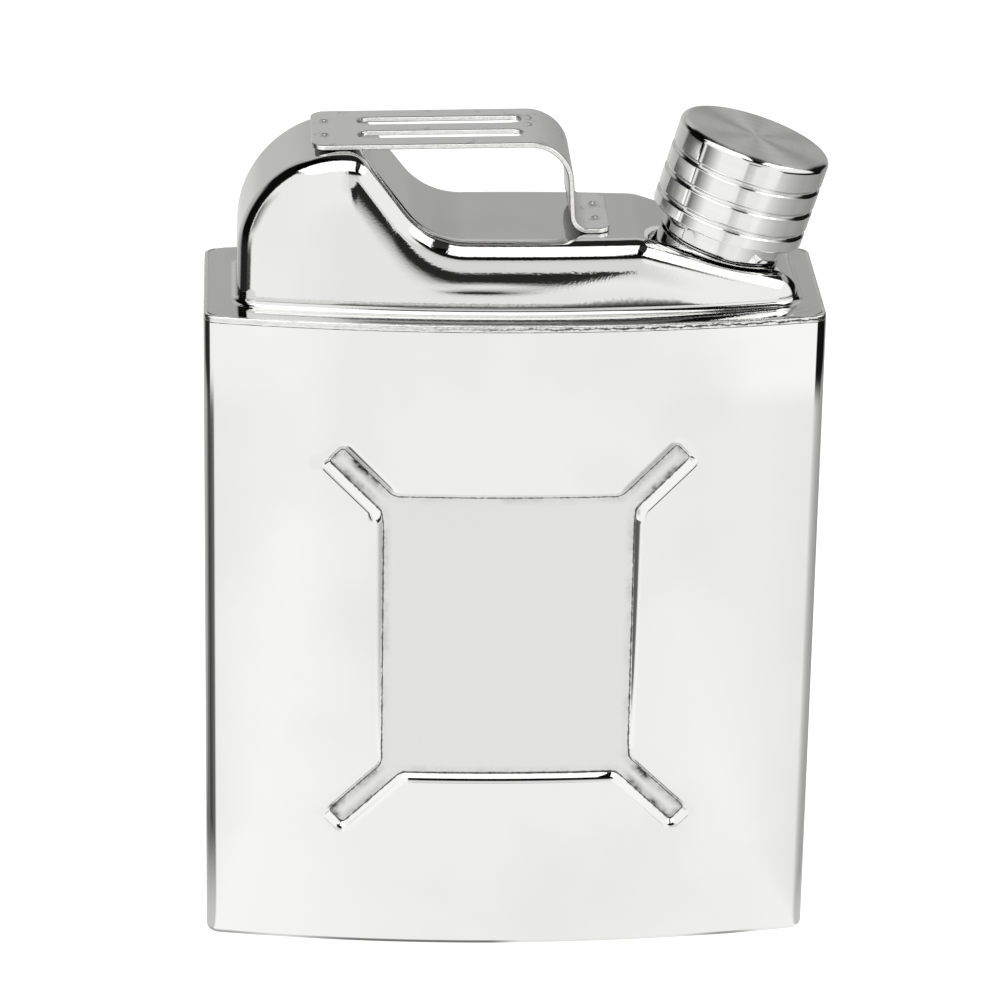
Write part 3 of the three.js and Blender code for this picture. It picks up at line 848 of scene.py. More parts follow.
@dataclass(frozen=True)
class SiliconeRubber:
    """Food-grade silicone rubber, cut from moulded sheet: milky, matt and slightly translucent."""

    colour: str = "#EEEDE8"
    dusty_colour: str = "#DDDBD3"
    roughness: float = 0.55
    mottle_size: float = 1.4
    glow: float = 0.15
    glow_depth: float = 0.8

    def build(self) -> Material:
        """Makes the material."""
        material, tree = new_material("Silicone_rubber_moulded")
        place = add_node(tree, "TexCoord", out="Object")
        mottle = add_node(tree, "TexNoise", {"Vector": place, "Scale": per_metre(self.mottle_size)})
        tone = add_node(tree, "Mix", {
            "Factor": mottle, "A": linear(self.colour), "B": linear(self.dusty_colour),
        }, data_type="RGBA")
        shader = add_node(tree, "BsdfPrincipled", {
            "Base Color": tone, "Roughness": self.roughness, "IOR": 1.41,
            "Subsurface Weight": self.glow, "Subsurface Scale": self.glow_depth * MM,
        })
        add_node(tree, "OutputMaterial", {"Surface": shader})
        return material


@dataclass(frozen=True)
class Plan:
    """Plan of the body, a rectangle whose front and back bow out on a circle.

    Half the depth at x is the height of that circle there, less its centre's distance from the middle.
    """

    width: float = 84.0
    side_depth: float = 26.4
    bow: float = 4.2
    corner: float = 1.9
    sheet: float = 0.6
    corner_steps: int = 12

    @property
    def radius(self) -> float:
        """Radius of the circle that a bowed face follows."""
        return (self.width**2 / 4 + self.bow**2) / (2 * self.bow)

    @property
    def centre(self) -> float:
        """Distance of that circle's centre from the middle plane."""
        return self.radius - self.side_depth / 2 - self.bow

    def half_depth(self, x: Array, inset: float) -> Array:
        """Half of the bowed depth at x, drawn in by inset."""
        return np.sqrt((self.radius - inset) ** 2 - x**2) - self.centre

    def face_normal(self, x: Array, inset: float) -> tuple[Array, Array]:
        """The x and y shares of the back face's normal at x: the direction from the circle's centre."""
        lean = x / (self.radius - inset)
        return lean, np.sqrt(1 - lean**2)

    def outline(self, left: float, right: float, inset: float, corner: float,
                face: Array) -> tuple[Array, Array]:
        """Closed outline with straight ends, bowed faces and round corners, seen from above.

        It runs along the front to the right, round the right end, along the back and round the left
        end.

        Args:
            left: The left end.
            right: The right end.
            inset: How far the bowed faces are drawn in.
            corner: Radius of the corners.
            face: Shares of a bowed face's length at which it has points, from 0 to 1.

        Returns:
            Points and normals, with the first repeated at the end.
        """
        circle = self.radius - inset
        spots = []
        for end in (left + corner, right - corner):
            reach = sqrt((circle - corner) ** 2 - end**2)
            spots.append((end, reach - self.centre, atan2(reach, end)))
        (left_x, left_y, left_angle), (right_x, right_y, right_angle) = spots
        turn = np.linspace(0, 1, self.corner_steps + 1)
        angle = left_angle + (right_angle - left_angle) * face
        ends = (left_angle + (pi - left_angle) * turn[::-1], right_angle * (1 - turn))
        bowed = stack(circle * np.cos(angle), circle * np.sin(angle) - self.centre)
        lefts = stack(left_x + corner * np.cos(ends[0]), left_y + corner * np.sin(ends[0]))
        rights = stack(right_x + corner * np.cos(ends[1]), right_y + corner * np.sin(ends[1]))
        half = np.concatenate([lefts[:-1], bowed, rights[1:]])
        facing = np.concatenate([ends[0][:-1], angle, ends[1][1:]])
        normal = stack(np.cos(facing), np.sin(facing))
        mirror = np.array([1, -1])
        points = np.concatenate([half * mirror, half[::-1]])
        normals = np.concatenate([normal * mirror, normal[::-1]])
        return np.concatenate([points, points[:1]]), np.concatenate([normals, normals[:1]])

    def body(self, inset: float, face: Array) -> tuple[Array, Array]:
        """Outline of the body, drawn in from its outer face."""
        side = self.width / 2 - inset
        return self.outline(-side, side, inset, max(self.corner - inset, 0.05), face)


def fine_steps(start: float, end: float, coarse: float, fine: float, windows: Windows) -> Array:
    """Places from start to end, with fine steps inside the windows and coarse ones between them."""
    stops = [start, *(stop for window in windows for stop in window), end]
    parts = []
    for k, (a, b) in enumerate(zip(stops, stops[1:])):
        step = fine if k % 2 else coarse
        parts.append(np.linspace(a, b, max(1, ceil((b - a) / step)), endpoint=False))
    return np.concatenate([*parts, [end]])


@dataclass(frozen=True)
class ArmEnd:
    """End of a pressed arm: its side and its way up as signs, and how far it runs past the panel."""

    right: int
    up: int
    out: float
    past: float


@dataclass(frozen=True)
class PressedPanel:
    """Panel pressed into the sheet: a rectangle with an arm running out of each corner.

    Its depth is full inside the outline, then falls along a straight wall, with both edges blended.
    """

    middle: float = 47.15
    shift: float = -0.6
    width: float = 34.3
    height: float = 41.3
    depth: float = 0.9
    run: float = 1.0
    corner: float = 0.5
    arm_width: float = 2.7
    arm_angle: float = radians(45)
    arm_ends: tuple[ArmEnd, ...] = (
        ArmEnd(-1, 1, 6.5, 5.95), ArmEnd(1, 1, 6.5, 6.4),
        ArmEnd(-1, -1, 6.35, 7.1), ArmEnd(1, -1, 7.15, 6.9),
    )
    crease_blend: float = 0.26
    lip_blend: float = 0.6
    joint_blend: float = 0.7

    def distance(self, x: Array, z: Array) -> Array:
        """Distance from the floor's outline: the blended least of the rectangle's and the arms'."""
        across = x - self.shift
        up = z - self.middle
        found = box_distance(across, up, self.width, self.height, self.corner)
        for end in self.arm_ends:
            length = end.out / cos(self.arm_angle) + self.arm_width
            dx = across - end.right * (self.width / 2 + end.out - length * cos(self.arm_angle) / 2)
            dz = up - end.up * (self.height / 2 + end.past - length * sin(self.arm_angle) / 2)
            lean = end.right * end.up * self.arm_angle
            along = dx * cos(lean) + dz * sin(lean)
            aside = dz * cos(lean) - dx * sin(lean)
            arm = box_distance(along, aside, length, self.arm_width, self.corner)
            found = soft_min(found, arm, self.joint_blend)
        return found

    def edges(self, margin: float) -> tuple[Windows, Windows]:
        """Stretches across and up the face that hold the panel's sides, top and foot, with the arms."""
        sides = self.width / 2 - abs(self.shift) - margin, self.width / 2 + abs(self.shift) + margin
        out = sides[1] + max(end.out for end in self.arm_ends)
        past = max(end.past for end in self.arm_ends) + margin
        low, high = self.middle - self.height / 2, self.middle + self.height / 2
        across = ((-out, -sides[0]), (sides[0], out))
        return across, ((low - past, low + margin), (high - margin, high + past))

    def sink(self, x: Array, z: Array) -> Array:
        """Depth of the pressing at each place."""
        wall = self.depth - self.distance(x, z) / self.run
        lipped = -soft_min(-wall, np.zeros_like(wall), self.lip_blend)
        return soft_min(lipped, self.depth, self.crease_blend)

    def mark(self, x: Array, z: Array) -> Array:
        """Distance from the crease as a share: 0 well outside, a half on it and 1 well inside."""
        return np.clip(0.5 - self.distance(x, z) / (2 * CREASE_REACH), 0, 1)


@dataclass
class Can:
    """The closed can under the shoulder: base pan, sleeve with its pressed panels, and weld band."""

    sheet_finish: Material
    weld_finish: Material
    plan: Plan = field(default_factory=Plan)
    panel: PressedPanel = field(default_factory=PressedPanel)
    foot: float = 1.2
    base_height: float = 3.0
    rim_height: float = 93.0
    band_height: float = 0.95
    band_corner: float = 0.12
    band_edge: float = 0.05
    band_crown: float = 0.27
    band_dent: float = 0.03
    band_step: float = 0.12
    panel_step: float = 0.2
    plain_step: float = 2.0
    panel_margin: float = 2.2

    def face(self) -> Array:
        """Shares of a bowed face's length, close together where the panel's edges are."""
        across, _ = self.panel.edges(self.panel_margin)
        half = self.plan.width / 2
        places = fine_steps(-half, half, self.plain_step, self.panel_step, across)
        return (places + half) / (2 * half)

    def wall(self, heights: Array, inset: float) -> tuple[Array, Array, Array, Array]:
        """One face of the sleeve's sheet.

        Each point of the outline is moved in by the pressing's depth, and its normal leans by the slope
        of that depth along the face and up the wall.

        Args:
            heights: Heights of the rows.
            inset: Distance from the sheet's outer face.

        Returns:
            Grids of points, of outward normals, of the crease's marks and of pattern coordinates, which
            run across and along the upright buffing lines.
        """
        outline, normal = self.plan.body(inset, self.face())
        z = heights[:, None]
        side = np.where(outline[:, 1] < 0, 1.0, -1.0)
        along = (outline[:, 0] * side)[None]
        bowed = (np.abs(normal[:, 1]) > np.abs(normal[:, 0]))[None]
        sink = self.panel.sink(along, z) * bowed
        slope_x = (self.panel.sink(along + PROBE, z) - self.panel.sink(along - PROBE, z)) / (2 * PROBE)
        slope_z = (self.panel.sink(along, z + PROBE) - self.panel.sink(along, z - PROBE)) / (2 * PROBE)
        tangent = stack(-normal[:, 1], normal[:, 0])
        moved = outline - normal * sink[..., None]
        leaning = normal + tangent * (slope_x * bowed)[..., None]
        points = stack(moved[..., 0], moved[..., 1], z)
        normals = unit(stack(leaning[..., 0], leaning[..., 1], slope_z * bowed))
        girth = np.cumsum(np.linalg.norm(np.diff(outline, axis=0, prepend=outline[:1]), axis=1))
        return points, normals, self.panel.mark(along, z) * bowed, stack(girth[None], z)

    def build_sleeve(self) -> list[Quads]:
        """Sleeve: its outer face, its inner face and the two rims between them."""
        low, high = self.base_height, self.rim_height - self.band_height
        _, upwards = self.panel.edges(self.panel_margin)
        heights = fine_steps(low, high, self.plain_step, self.panel_step, upwards)
        outer, facing, marks, pattern = self.wall(heights, 0)
        inner, backing, _, _ = self.wall(heights[[*range(0, len(heights) - 1, 4), -1]], self.plan.sheet)
        rims = [
            grid_quads(np.stack([outer[k], inner[k]]), np.full((2, outer.shape[1], 3), (0, 0, up)))
            for k, up in ((0, -1.0), (-1, 1.0))
        ]
        return [grid_quads(outer, facing, marks, pattern), grid_quads(inner, -backing), *rims]

    def ring_loft(self, section: Path, face: Array) -> tuple[Array, Array]:
        """Body outline carried along a section of inset and height.

        Args:
            section: Path of insets and heights, with its normal on the side of the material's outside.
            face: Shares of a bowed face's length.

        Returns:
            Grids of points and normals.
        """
        rows = [self.plan.body(inset, face) for inset in section.points[:, 0]]
        outline = np.stack([row[0] for row in rows])
        normal = np.stack([row[1] for row in rows])
        points = stack(outline[..., 0], outline[..., 1], section.points[:, 1, None])
        out = -section.normals[:, 0, None]
        normals = stack(normal[..., 0] * out, normal[..., 1] * out, section.normals[:, 1, None])
        return points, normals

    def build_base(self) -> list[Quads]:
        """Base pan: an outline carried up a rounded foot and back down inside, with flat floors."""
        face = np.linspace(0, 1, 61)
        sheet = self.plan.sheet
        flat = self.foot + 1
        outer = rounded_path([(flat, 0, 0), (0, 0, self.foot), (0, self.base_height, 0)], 1, radians(6))
        inner = rounded_path([
            (sheet, self.base_height, 0), (sheet, sheet, self.foot - sheet), (flat, sheet, 0),
        ], 1, radians(12))
        parts = []
        edges = []
        for path, sign in ((outer, 1.0), (inner, -1.0)):
            points, normals = self.ring_loft(path, face)
            parts.append(grid_quads(points, normals))
            ring = points[0] if sign > 0 else points[-1]
            edges.append(points[-1] if sign > 0 else points[0])
            middle = np.zeros_like(ring) + (0, 0, ring[0, 2])
            down = np.full((2, len(ring), 3), (0, 0, -sign))
            parts.append(grid_quads(np.stack([middle, ring]), down))
        parts.append(grid_quads(np.stack(edges), np.full((2, len(edges[0]), 3), (0, 0, 1.0))))
        return parts

    def build_band(self) -> list[Quads]:
        """Weld band: a low ring with a rounded crown, its surface dented by irregular waves."""
        sheet = self.plan.sheet
        low = self.rim_height - self.band_height
        section = rounded_path([
            (sheet, low, 0), (0, low, self.band_corner), (0, self.rim_height, self.band_crown),
            (sheet, self.rim_height, self.band_edge), (sheet, low + self.band_edge, 0),
        ], self.band_step, radians(10))
        points, normals = self.ring_loft(section, np.linspace(0, 1, 560))
        rows, columns = points.shape[:2]
        turn = np.linspace(0, 1, columns)[None] + 0.0007 * np.arange(rows)[:, None]
        outside = np.clip(-section.normals[:, 0, None] + 0.3, 0, 1)
        dent = self.band_dent * (1 + ripple(turn, 20, 240, 12, 3)) * outside
        steps = np.linalg.norm(np.diff(points[0], axis=0), axis=1)
        pattern = stack(np.concatenate([[0], np.cumsum(steps)])[None], section.length[:, None])
        return [grid_quads(points - normals * dent[..., None], normals, uv=pattern)]

    def dress(self) -> None:
        """Makes the can's pieces."""
        sheet, weld = self.sheet_finish, self.weld_finish
        add_piece("base_pan", self.build_base(), sheet, Body.FLASK, Slot.POLISHED, "base_plate")
        add_piece("sleeve", self.build_sleeve(), sheet, Body.FLASK, Slot.POLISHED, "body_sleeve")
        add_piece("weld_band", self.build_band(), weld, Body.FLASK, Slot.WELD, "rim_weld_bead")


@dataclass
class Shoulder:
    """The drawn top: flange, fillet and a dome whose top line runs over hump, deck and slope."""

    finish: Material
    plan: Plan = field(default_factory=Plan)
    rim_height: float = 93.0
    ledge_side: float = 4.4
    ledge_left: float = 4.4
    ledge_right: float = 3.4
    edge: float = 3.7
    wall_lean: float = radians(12.5)
    lean_height: float = 5.0
    hollows: tuple[tuple[float, ...], ...] = ((-4.8, 96.5, 6.0, 0.5, 0.05),)
    # Painted shade: a dark line along the front toe, where the wall meets the fillet.
    toe_shade_ends: tuple[float, float] = (-26.0, 25.0)
    toe_shade_place: float = 16.0
    toe_shade_length: float = 8.0
    toe_shade_heights: tuple[float, float] = (0.6, 1.5)
    toe_shade_taper: float = 3.0
    toe_shade_fade: float = 0.28
    fillet: float = 0.9
    flange_fall: float = 0.04
    draft: float = 0.5
    crest_height: float = 21.3
    crest_length: float = 17.0
    hump_radius: float = 14.5
    brow_radius: float = 4.2
    hump_slope: float = radians(52.5)
    toe_radius: float = 10.0
    deck_height: float = 9.5
    slope_length: float = 21.6
    fold_radius: float = 6.0
    end_radius: float = 3.6
    lean: float = radians(16.7)
    neck_inset: float = 10.2
    hole_radius: float = 8.05
    run_step: float = 0.7
    bend_step: float = radians(2)
    edge_steps: int = 18
    flat_steps: int = 24
    wall_steps: int = 14

    @property
    def left(self) -> float:
        """Left foot of the dome."""
        return self.ledge_left - self.plan.width / 2

    @property
    def right(self) -> float:
        """Right foot of the dome."""
        return self.plan.width / 2 - self.ledge_right

    @property
    def deck(self) -> float:
        """Height of the deck."""
        return self.rim_height + self.deck_height

    @property
    def crest(self) -> float:
        """Height of the hump's crest."""
        return self.rim_height + self.crest_height

    @property
    def fold(self) -> float:
        """Where the deck folds down into the slope."""
        return self.right - self.slope_length

    @property
    def seat(self) -> float:
        """Left end of the level crest: the hump's arc ends its tangent length from the corner."""
        turn = pi / 2 - atan2(self.draft, self.crest_height)
        return self.left + self.draft + self.hump_radius * tan(turn / 2)

    @property
    def neck_foot(self) -> tuple[float, float]:
        """Where the neck's axis meets the slope, as x and z."""
        x = self.right - self.neck_inset
        return x, self.slope(x)

    def slope(self, x: float) -> float:
        """Height of the slope that carries the neck."""
        return self.deck - (x - self.fold) * tan(self.lean)

    def top_line(self, foot: float) -> Path:
        """Top line from the left foot to the right one, seen from the front."""
        brow = self.left + self.crest_length
        toe = brow + (self.crest_height - self.deck_height) / tan(self.hump_slope)
        end = self.right - self.draft
        return rounded_path([
            (self.left, foot, 0),
            (self.left + self.draft, self.crest, self.hump_radius),
            (brow, self.crest, self.brow_radius),
            (toe, self.deck, self.toe_radius),
            (self.fold, self.deck, self.fold_radius),
            (end, self.slope(end), self.end_radius),
            (self.right, foot, 0),
        ], self.run_step, self.bend_step)

    def hollow(self, x: Array, z: Array) -> tuple[Array, Array]:
        """Shallow hollows left in the long walls by hand polishing.

        Each has a middle, a length, a height and a depth, and fades out on a bell curve.

        Args:
            x: Places along the wall.
            z: Heights on the wall.

        Returns:
            The depths, and their slopes up the wall.
        """
        found = slope = 0.0
        for at_x, at_z, length, height, depth in self.hollows:
            bell = depth * np.exp(-(((x - at_x) / length) ** 2) - ((z - at_z) / height) ** 2)
            found = found + bell
            slope = slope - bell * 2 * (z - at_z) / height**2
        return found, slope

    def dome(self, foot: float) -> tuple[Array, Array]:
        """The dome as a grid, with a row for each point of the top line, from the back to the front.

        A row climbs the wall, which leans in more and more below its top, turns over the long edge on
        an arc that swings from the wall's lean to the top line's normal, and crosses the top straight.

        Args:
            foot: Height of the walls' feet.

        Returns:
            Grids of points and normals.
        """
        line = self.top_line(foot)
        x, z = line.points[:, 0, None], line.points[:, 1, None]
        nx, nz = line.normals[:, 0, None], line.normals[:, 1, None]
        drawn = self.lean_height * self.wall_lean / 2
        bend = (self.edge - drawn) / cos(self.wall_lean)
        swing = np.linspace(self.wall_lean, pi / 2, self.edge_steps + 1)[None]
        deep = bend * (1 - np.sin(swing))
        wall_x = x - nx * deep[:, :1]
        wall_z = np.maximum(z - nz * deep[:, :1], foot)
        half = self.plan.half_depth(wall_x, self.ledge_side)
        lean, across = self.plan.face_normal(wall_x, self.ledge_side)
        climb = np.linspace(0, 1, self.wall_steps, endpoint=False)[None]
        below = (wall_z - foot) * (1 - climb)
        share = np.clip(1 - below / self.lean_height, 0, 1)
        tilt = self.wall_lean * share
        level = np.linspace(1, 0, self.flat_steps // 2 + 1)[None, 1:]
        sunk, climbing = self.hollow(wall_x, wall_z - below)
        wall = stack(wall_x, half - drawn * share**2 - sunk, wall_z - below)
        arc_z = np.maximum(z - nz * deep, foot)
        arc = stack(x - nx * deep, half - self.edge + bend * np.cos(swing), arc_z)
        flat = stack(x, (half - self.edge) * level, z)
        turns = [
            stack(lean * np.cos(turn) + nx * np.sin(turn), across * np.cos(turn), nz * np.sin(turn))
            for turn in (tilt, swing)
        ]
        turns[0] = turns[0] + stack(0.0, 0.0, climbing)
        flat_n = stack(nx + 0 * level, 0.0, nz)
        back = np.concatenate([wall, arc, flat], axis=1)
        facing = np.concatenate([*turns, flat_n], axis=1)
        mirror = np.array([1, -1, 1])
        points = np.concatenate([back, back[:, -2::-1] * mirror], axis=1)
        return points, unit(np.concatenate([facing, facing[:, -2::-1] * mirror], axis=1))

    def skirt(self, points: Array, normals: Array) -> tuple[Array, Array, Array, Array]:
        """Fillet and flange, carried outwards from the loop of the dome's feet.

        The fillet is a quarter circle that leaves the wall upright and lands flat on the flange. The
        flange runs on to the body's outline, with its ends drawn in to the round corners. In front and
        at the back its outer part falls with the square of the way out, and grey streaks of painted
        reflection run along its middle.

        Args:
            points: The dome's grid of points.
            normals: The dome's grid of normals.

        Returns:
            Grids of points, normals, marks and pattern coordinates, a row for each step outwards.
        """
        def loop(grid: Array) -> Array:
            sides = (grid[:-1, -1], grid[-1, :0:-1], grid[:0:-1, 0], grid[0, :-1], grid[:1, -1])
            return np.concatenate(sides)

        foot = loop(points)
        out = loop(normals)[:, :2]
        out = out / np.linalg.norm(out, axis=1, keepdims=True)
        turn = np.linspace(0, pi / 2, 10)[:, None]
        reach = self.fillet * (1 - np.cos(turn))
        rows = stack(foot[:, 0] + out[:, 0] * reach, foot[:, 1] + out[:, 1] * reach,
                     self.rim_height + self.fillet * (1 - np.sin(turn)))
        facing = stack(out[:, 0] * np.cos(turn), out[:, 1] * np.cos(turn), np.sin(turn))
        side = self.plan.width / 2 - self.plan.sheet
        limit_x = side - np.abs(rows[-1, :, 0])
        limit_y = self.plan.half_depth(np.clip(rows[-1, :, 0], -side, side), self.plan.sheet)
        limit_y = limit_y - np.abs(rows[-1, :, 1])
        least = 0.02
        to_end, to_face = (
            np.where(share > least, limit / np.maximum(share, least), np.inf)
            for share, limit in zip(np.abs(out).T, (limit_x, limit_y))
        )
        start = rows[-1, :, :2]
        end = start + out * np.minimum(to_end, to_face)[:, None]
        corner = self.plan.corner - self.plan.sheet
        depth = self.plan.half_depth(np.clip(end[:, 0], -side, side), self.plan.sheet)
        past = np.abs(end) - stack(side - corner, depth - corner)
        reach = np.maximum(np.linalg.norm(past, axis=1, keepdims=True), corner)
        cut = (past > 0).all(axis=1, keepdims=True) * past * (1 - corner / reach)
        end = end - np.sign(end) * cut
        spread = np.linspace(0, 1, 11)[1:, None, None]
        flange = start + (end - start) * spread
        width = np.maximum(np.linalg.norm(end - start, axis=1), 0.5)
        fall = np.clip(spread[..., 0] * 2 - 1, 0, 1)
        drop = self.flange_fall * out[:, 1] ** 4
        flange = stack(flange[..., 0], flange[..., 1], self.rim_height - drop * fall**2)
        slope = 4 * drop * fall / width
        level = unit(stack(out[:, 0] * slope, out[:, 1] * slope, 1.0))
        points, normals = np.concatenate([rows, flange]), np.concatenate([facing, level])
        way_out = np.concatenate([0 * turn, spread[..., 0]])
        # Painted reflection: marks for grey streaks along the flange's middle, in front and at the
        # back.
        marks = -np.sin(pi * way_out**0.8) * out[:, 1] ** 4
        around = np.cumsum(np.linalg.norm(np.diff(foot, axis=0, prepend=foot[:1]), axis=1))
        return points, normals, marks, stack(way_out * width, around)

    def toe_shade(self, points: Array) -> Array:
        """Marks of painted shade along the front toe: a thin dark line that thickens in one place.

        A mark of a half is full shade, and it thins out over the height as it does beside the
        panel's crease.
        """
        x, y, z = np.moveaxis(points, -1, 0)
        thin, thick = self.toe_shade_heights
        height = thin + thick * np.exp(-(((x - self.toe_shade_place) / self.toe_shade_length) ** 2))
        left, right = self.toe_shade_ends
        height = height * np.clip(np.minimum(x - left, right - x) / self.toe_shade_taper, 0.01, 1)
        rise = (z - self.rim_height - self.fillet) / height
        mark = np.clip(0.5 - self.toe_shade_fade * rise / (2 * CREASE_REACH), 0, 0.5)
        return np.where(y < 0, mark, 0)

    def build(self) -> list[Quads]:
        """Both faces of the drawn sheet, with the hole for the neck's spigot."""
        points, normals = self.dome(self.rim_height + self.fillet)
        foot_x, foot_z = self.neck_foot
        ahead = np.array([cos(self.lean), 0, -sin(self.lean)])
        away = points - np.array([foot_x, 0, foot_z])
        along = away @ ahead
        radius = np.hypot(along, away[..., 1])
        on_slope = (normals[..., 2] > 0.8) & (points[..., 0] > self.fold)
        near = on_slope & (np.abs(radius - self.hole_radius) < 0.55 * self.run_step)
        shift = np.where(near, self.hole_radius / np.maximum(radius, 0.1) - 1, 0)
        from_axis = along[..., None] * ahead + away[..., 1:2] * np.array([0, 1, 0])
        points = points + shift[..., None] * from_axis
        inside = on_slope & ((radius < self.hole_radius) | near)
        kept = ~(inside[:-1, :-1] & inside[1:, :-1] & inside[:-1, 1:] & inside[1:, 1:])
        sheet = self.plan.sheet
        skirt, skirt_n, streaks, lines = self.skirt(points, normals)
        steps = np.linalg.norm(np.diff(points, axis=1, prepend=points[:, :1]), axis=2)
        along_top = self.top_line(self.rim_height + self.fillet).length[:, None]
        pattern = stack(np.cumsum(steps, axis=1), along_top)
        edge = unit(skirt * np.array([1, 1, 0]))
        whole = np.ones(np.array(skirt.shape[:2]) - 1, bool)
        return [
            # The top's marks paint a dark shade line along the front toe.
            grid_quads(points, normals, self.toe_shade(points), pattern, kept),
            grid_quads(points - normals * sheet, -normals, kept=kept),
            wall_quads(points, points - normals * sheet, -unit(from_axis), kept, set()),
            grid_quads(skirt, skirt_n, streaks, lines),
            grid_quads(skirt - skirt_n * sheet, -skirt_n),
            wall_quads(skirt, skirt - skirt_n * sheet, edge, whole, {Rim.LAST_ROW}),
        ]

    def dress(self) -> None:
        """Makes the shoulder's piece."""
        add_piece("shoulder", self.build(), self.finish, Body.FLASK, Slot.POLISHED, "shoulder_cover")


@dataclass
class Handle:
    """The carrying handle: a bent strip with two slots, round corners and dimpled spot welds.

    The strip is laid out flat as a grid along and across it. Points near its outline are moved onto the
    outline, faces outside are dropped, and the rest is bent along the path.
    """

    finish: Material
    shoulder: Shoulder
    sheet: float = 0.75
    width: float = 14.65
    corner: float = 1.9
    head: float = 4.55
    seat_gap: float = 0.02
    rise: float = radians(0.9)
    grip_bend: float = 6.0
    leg_lean: float = radians(3.5)
    foot_bend: float = 1.8
    foot_length: float = 4.6
    foot_inset: float = 4.2
    slot_width: float = 2.7
    slot_start: float = 6.3
    slot_end: float = 6.5
    row_spacing: float = 5.8
    weld_inset: float = 1.8
    weld_diameter: float = 1.2
    weld_depth: float = 0.3
    ring_height: float = 0.35
    ring_place: float = 1.1
    ring_width: float = 0.3
    dimple_width: float = 0.62
    edge_radius: float = 0.16
    # Reach of the painted shade on the underside from the head and from the foot.
    head_shade_reach: float = 9.0
    foot_shade_reach: float = 8.0
    step: float = 0.21

    def path(self) -> Path:
        """Upper face of the strip, seen from the front, from its head on the hump to its foot."""
        shoulder = self.shoulder
        head_x = shoulder.seat - self.head
        foot_x = shoulder.fold - self.foot_inset
        foot_top = shoulder.deck + self.sheet

        def grip(x: float) -> float:
            seat_top = shoulder.crest + self.seat_gap + self.sheet / cos(self.rise)
            return seat_top + (x - shoulder.seat) * tan(self.rise)

        leg_x = foot_x - self.foot_length
        bend_x = leg_x - (grip(leg_x) - foot_top) * tan(self.leg_lean)
        return rounded_path([
            (head_x, grip(head_x), 0),
            (bend_x, grip(bend_x), self.grip_bend),
            (leg_x, foot_top, self.foot_bend),
            (foot_x, foot_top, 0),
        ], 0.5, radians(2))

    def grip_length(self) -> float:
        """Length of the grip from the head to the corner where it would meet the leg."""
        shoulder = self.shoulder
        leg_x = shoulder.fold - self.foot_inset - self.foot_length
        drop = shoulder.crest_height - shoulder.deck_height
        bend_x = leg_x - drop * tan(self.leg_lean)
        return (bend_x - shoulder.seat + self.head) / cos(self.rise)

    def distance(self, s: Array, t: Array, length: float) -> Array:
        """Distance from the strip's outline, negative in the metal: the outer edge less the slots."""
        outer = box_distance(s - length / 2, t, length, self.width, self.corner)
        slot_length = self.grip_length() - self.slot_start - self.slot_end
        middle = self.slot_start + slot_length / 2
        for row in (-self.row_spacing / 2, self.row_spacing / 2):
            slot = box_distance(s - middle, t - row, slot_length, self.slot_width, self.slot_width / 2)
            outer = np.maximum(outer, -slot)
        return outer

    def weld_distance(self, s: Array, t: Array, length: float) -> Array:
        """Distance from the nearest spot weld's middle, in radii of the weld."""
        nearest = np.full(np.broadcast(s, t).shape, np.inf)
        for row in (-self.row_spacing / 2, self.row_spacing / 2):
            for place in (self.weld_inset, length - self.weld_inset):
                nearest = np.minimum(nearest, np.hypot(s - place, t - row) / (self.weld_diameter / 2))
        return nearest

    def relief(self, s: Array, t: Array, length: float) -> Array:
        """Height of the spot welds' dimples on top: a bell curve down inside a low raised ring."""
        away = self.weld_distance(s, t, length)
        ring = self.ring_height * np.exp(-(((away - self.ring_place) / self.ring_width) ** 2))
        return self.weld_depth * (ring - np.exp(-((away / self.dimple_width) ** 2)))

    def build(self) -> list[Quads]:
        """Upper face, under face and the cut edges between them."""
        path = self.path()
        length = path.length[-1]
        steps_s = ceil(length / self.step)
        steps_t = ceil(self.width / self.step)
        s = np.linspace(-self.step, length + self.step, steps_s + 3)[:, None]
        t = np.linspace(-self.width / 2 - self.step, self.width / 2 + self.step, steps_t + 3)[None]
        s, t = (np.array(grid) for grid in np.broadcast_arrays(s, t))

        def slopes(surface: Any) -> tuple[Array, Array]:
            probe = PROBE / 2
            return ((surface(s + probe, t, length) - surface(s - probe, t, length)) / PROBE,
                    (surface(s, t + probe, length) - surface(s, t - probe, length)) / PROBE)

        gap = self.distance(s, t, length)
        out_s, out_t = slopes(self.distance)
        near = np.abs(gap) < 0.6 * self.step
        s = np.where(near, s - gap * out_s, s)
        t = np.where(near, t - gap * out_t, t)
        gap = np.where(near, 0, gap)
        metal = gap <= 0
        kept = metal[:-1, :-1] & metal[1:, :-1] & metal[:-1, 1:] & metal[1:, 1:]
        middle_s = (s[:-1, :-1] + s[1:, 1:]) / 2
        middle_t = (t[:-1, :-1] + t[1:, 1:]) / 2
        kept &= self.distance(middle_s, middle_t, length) < 0

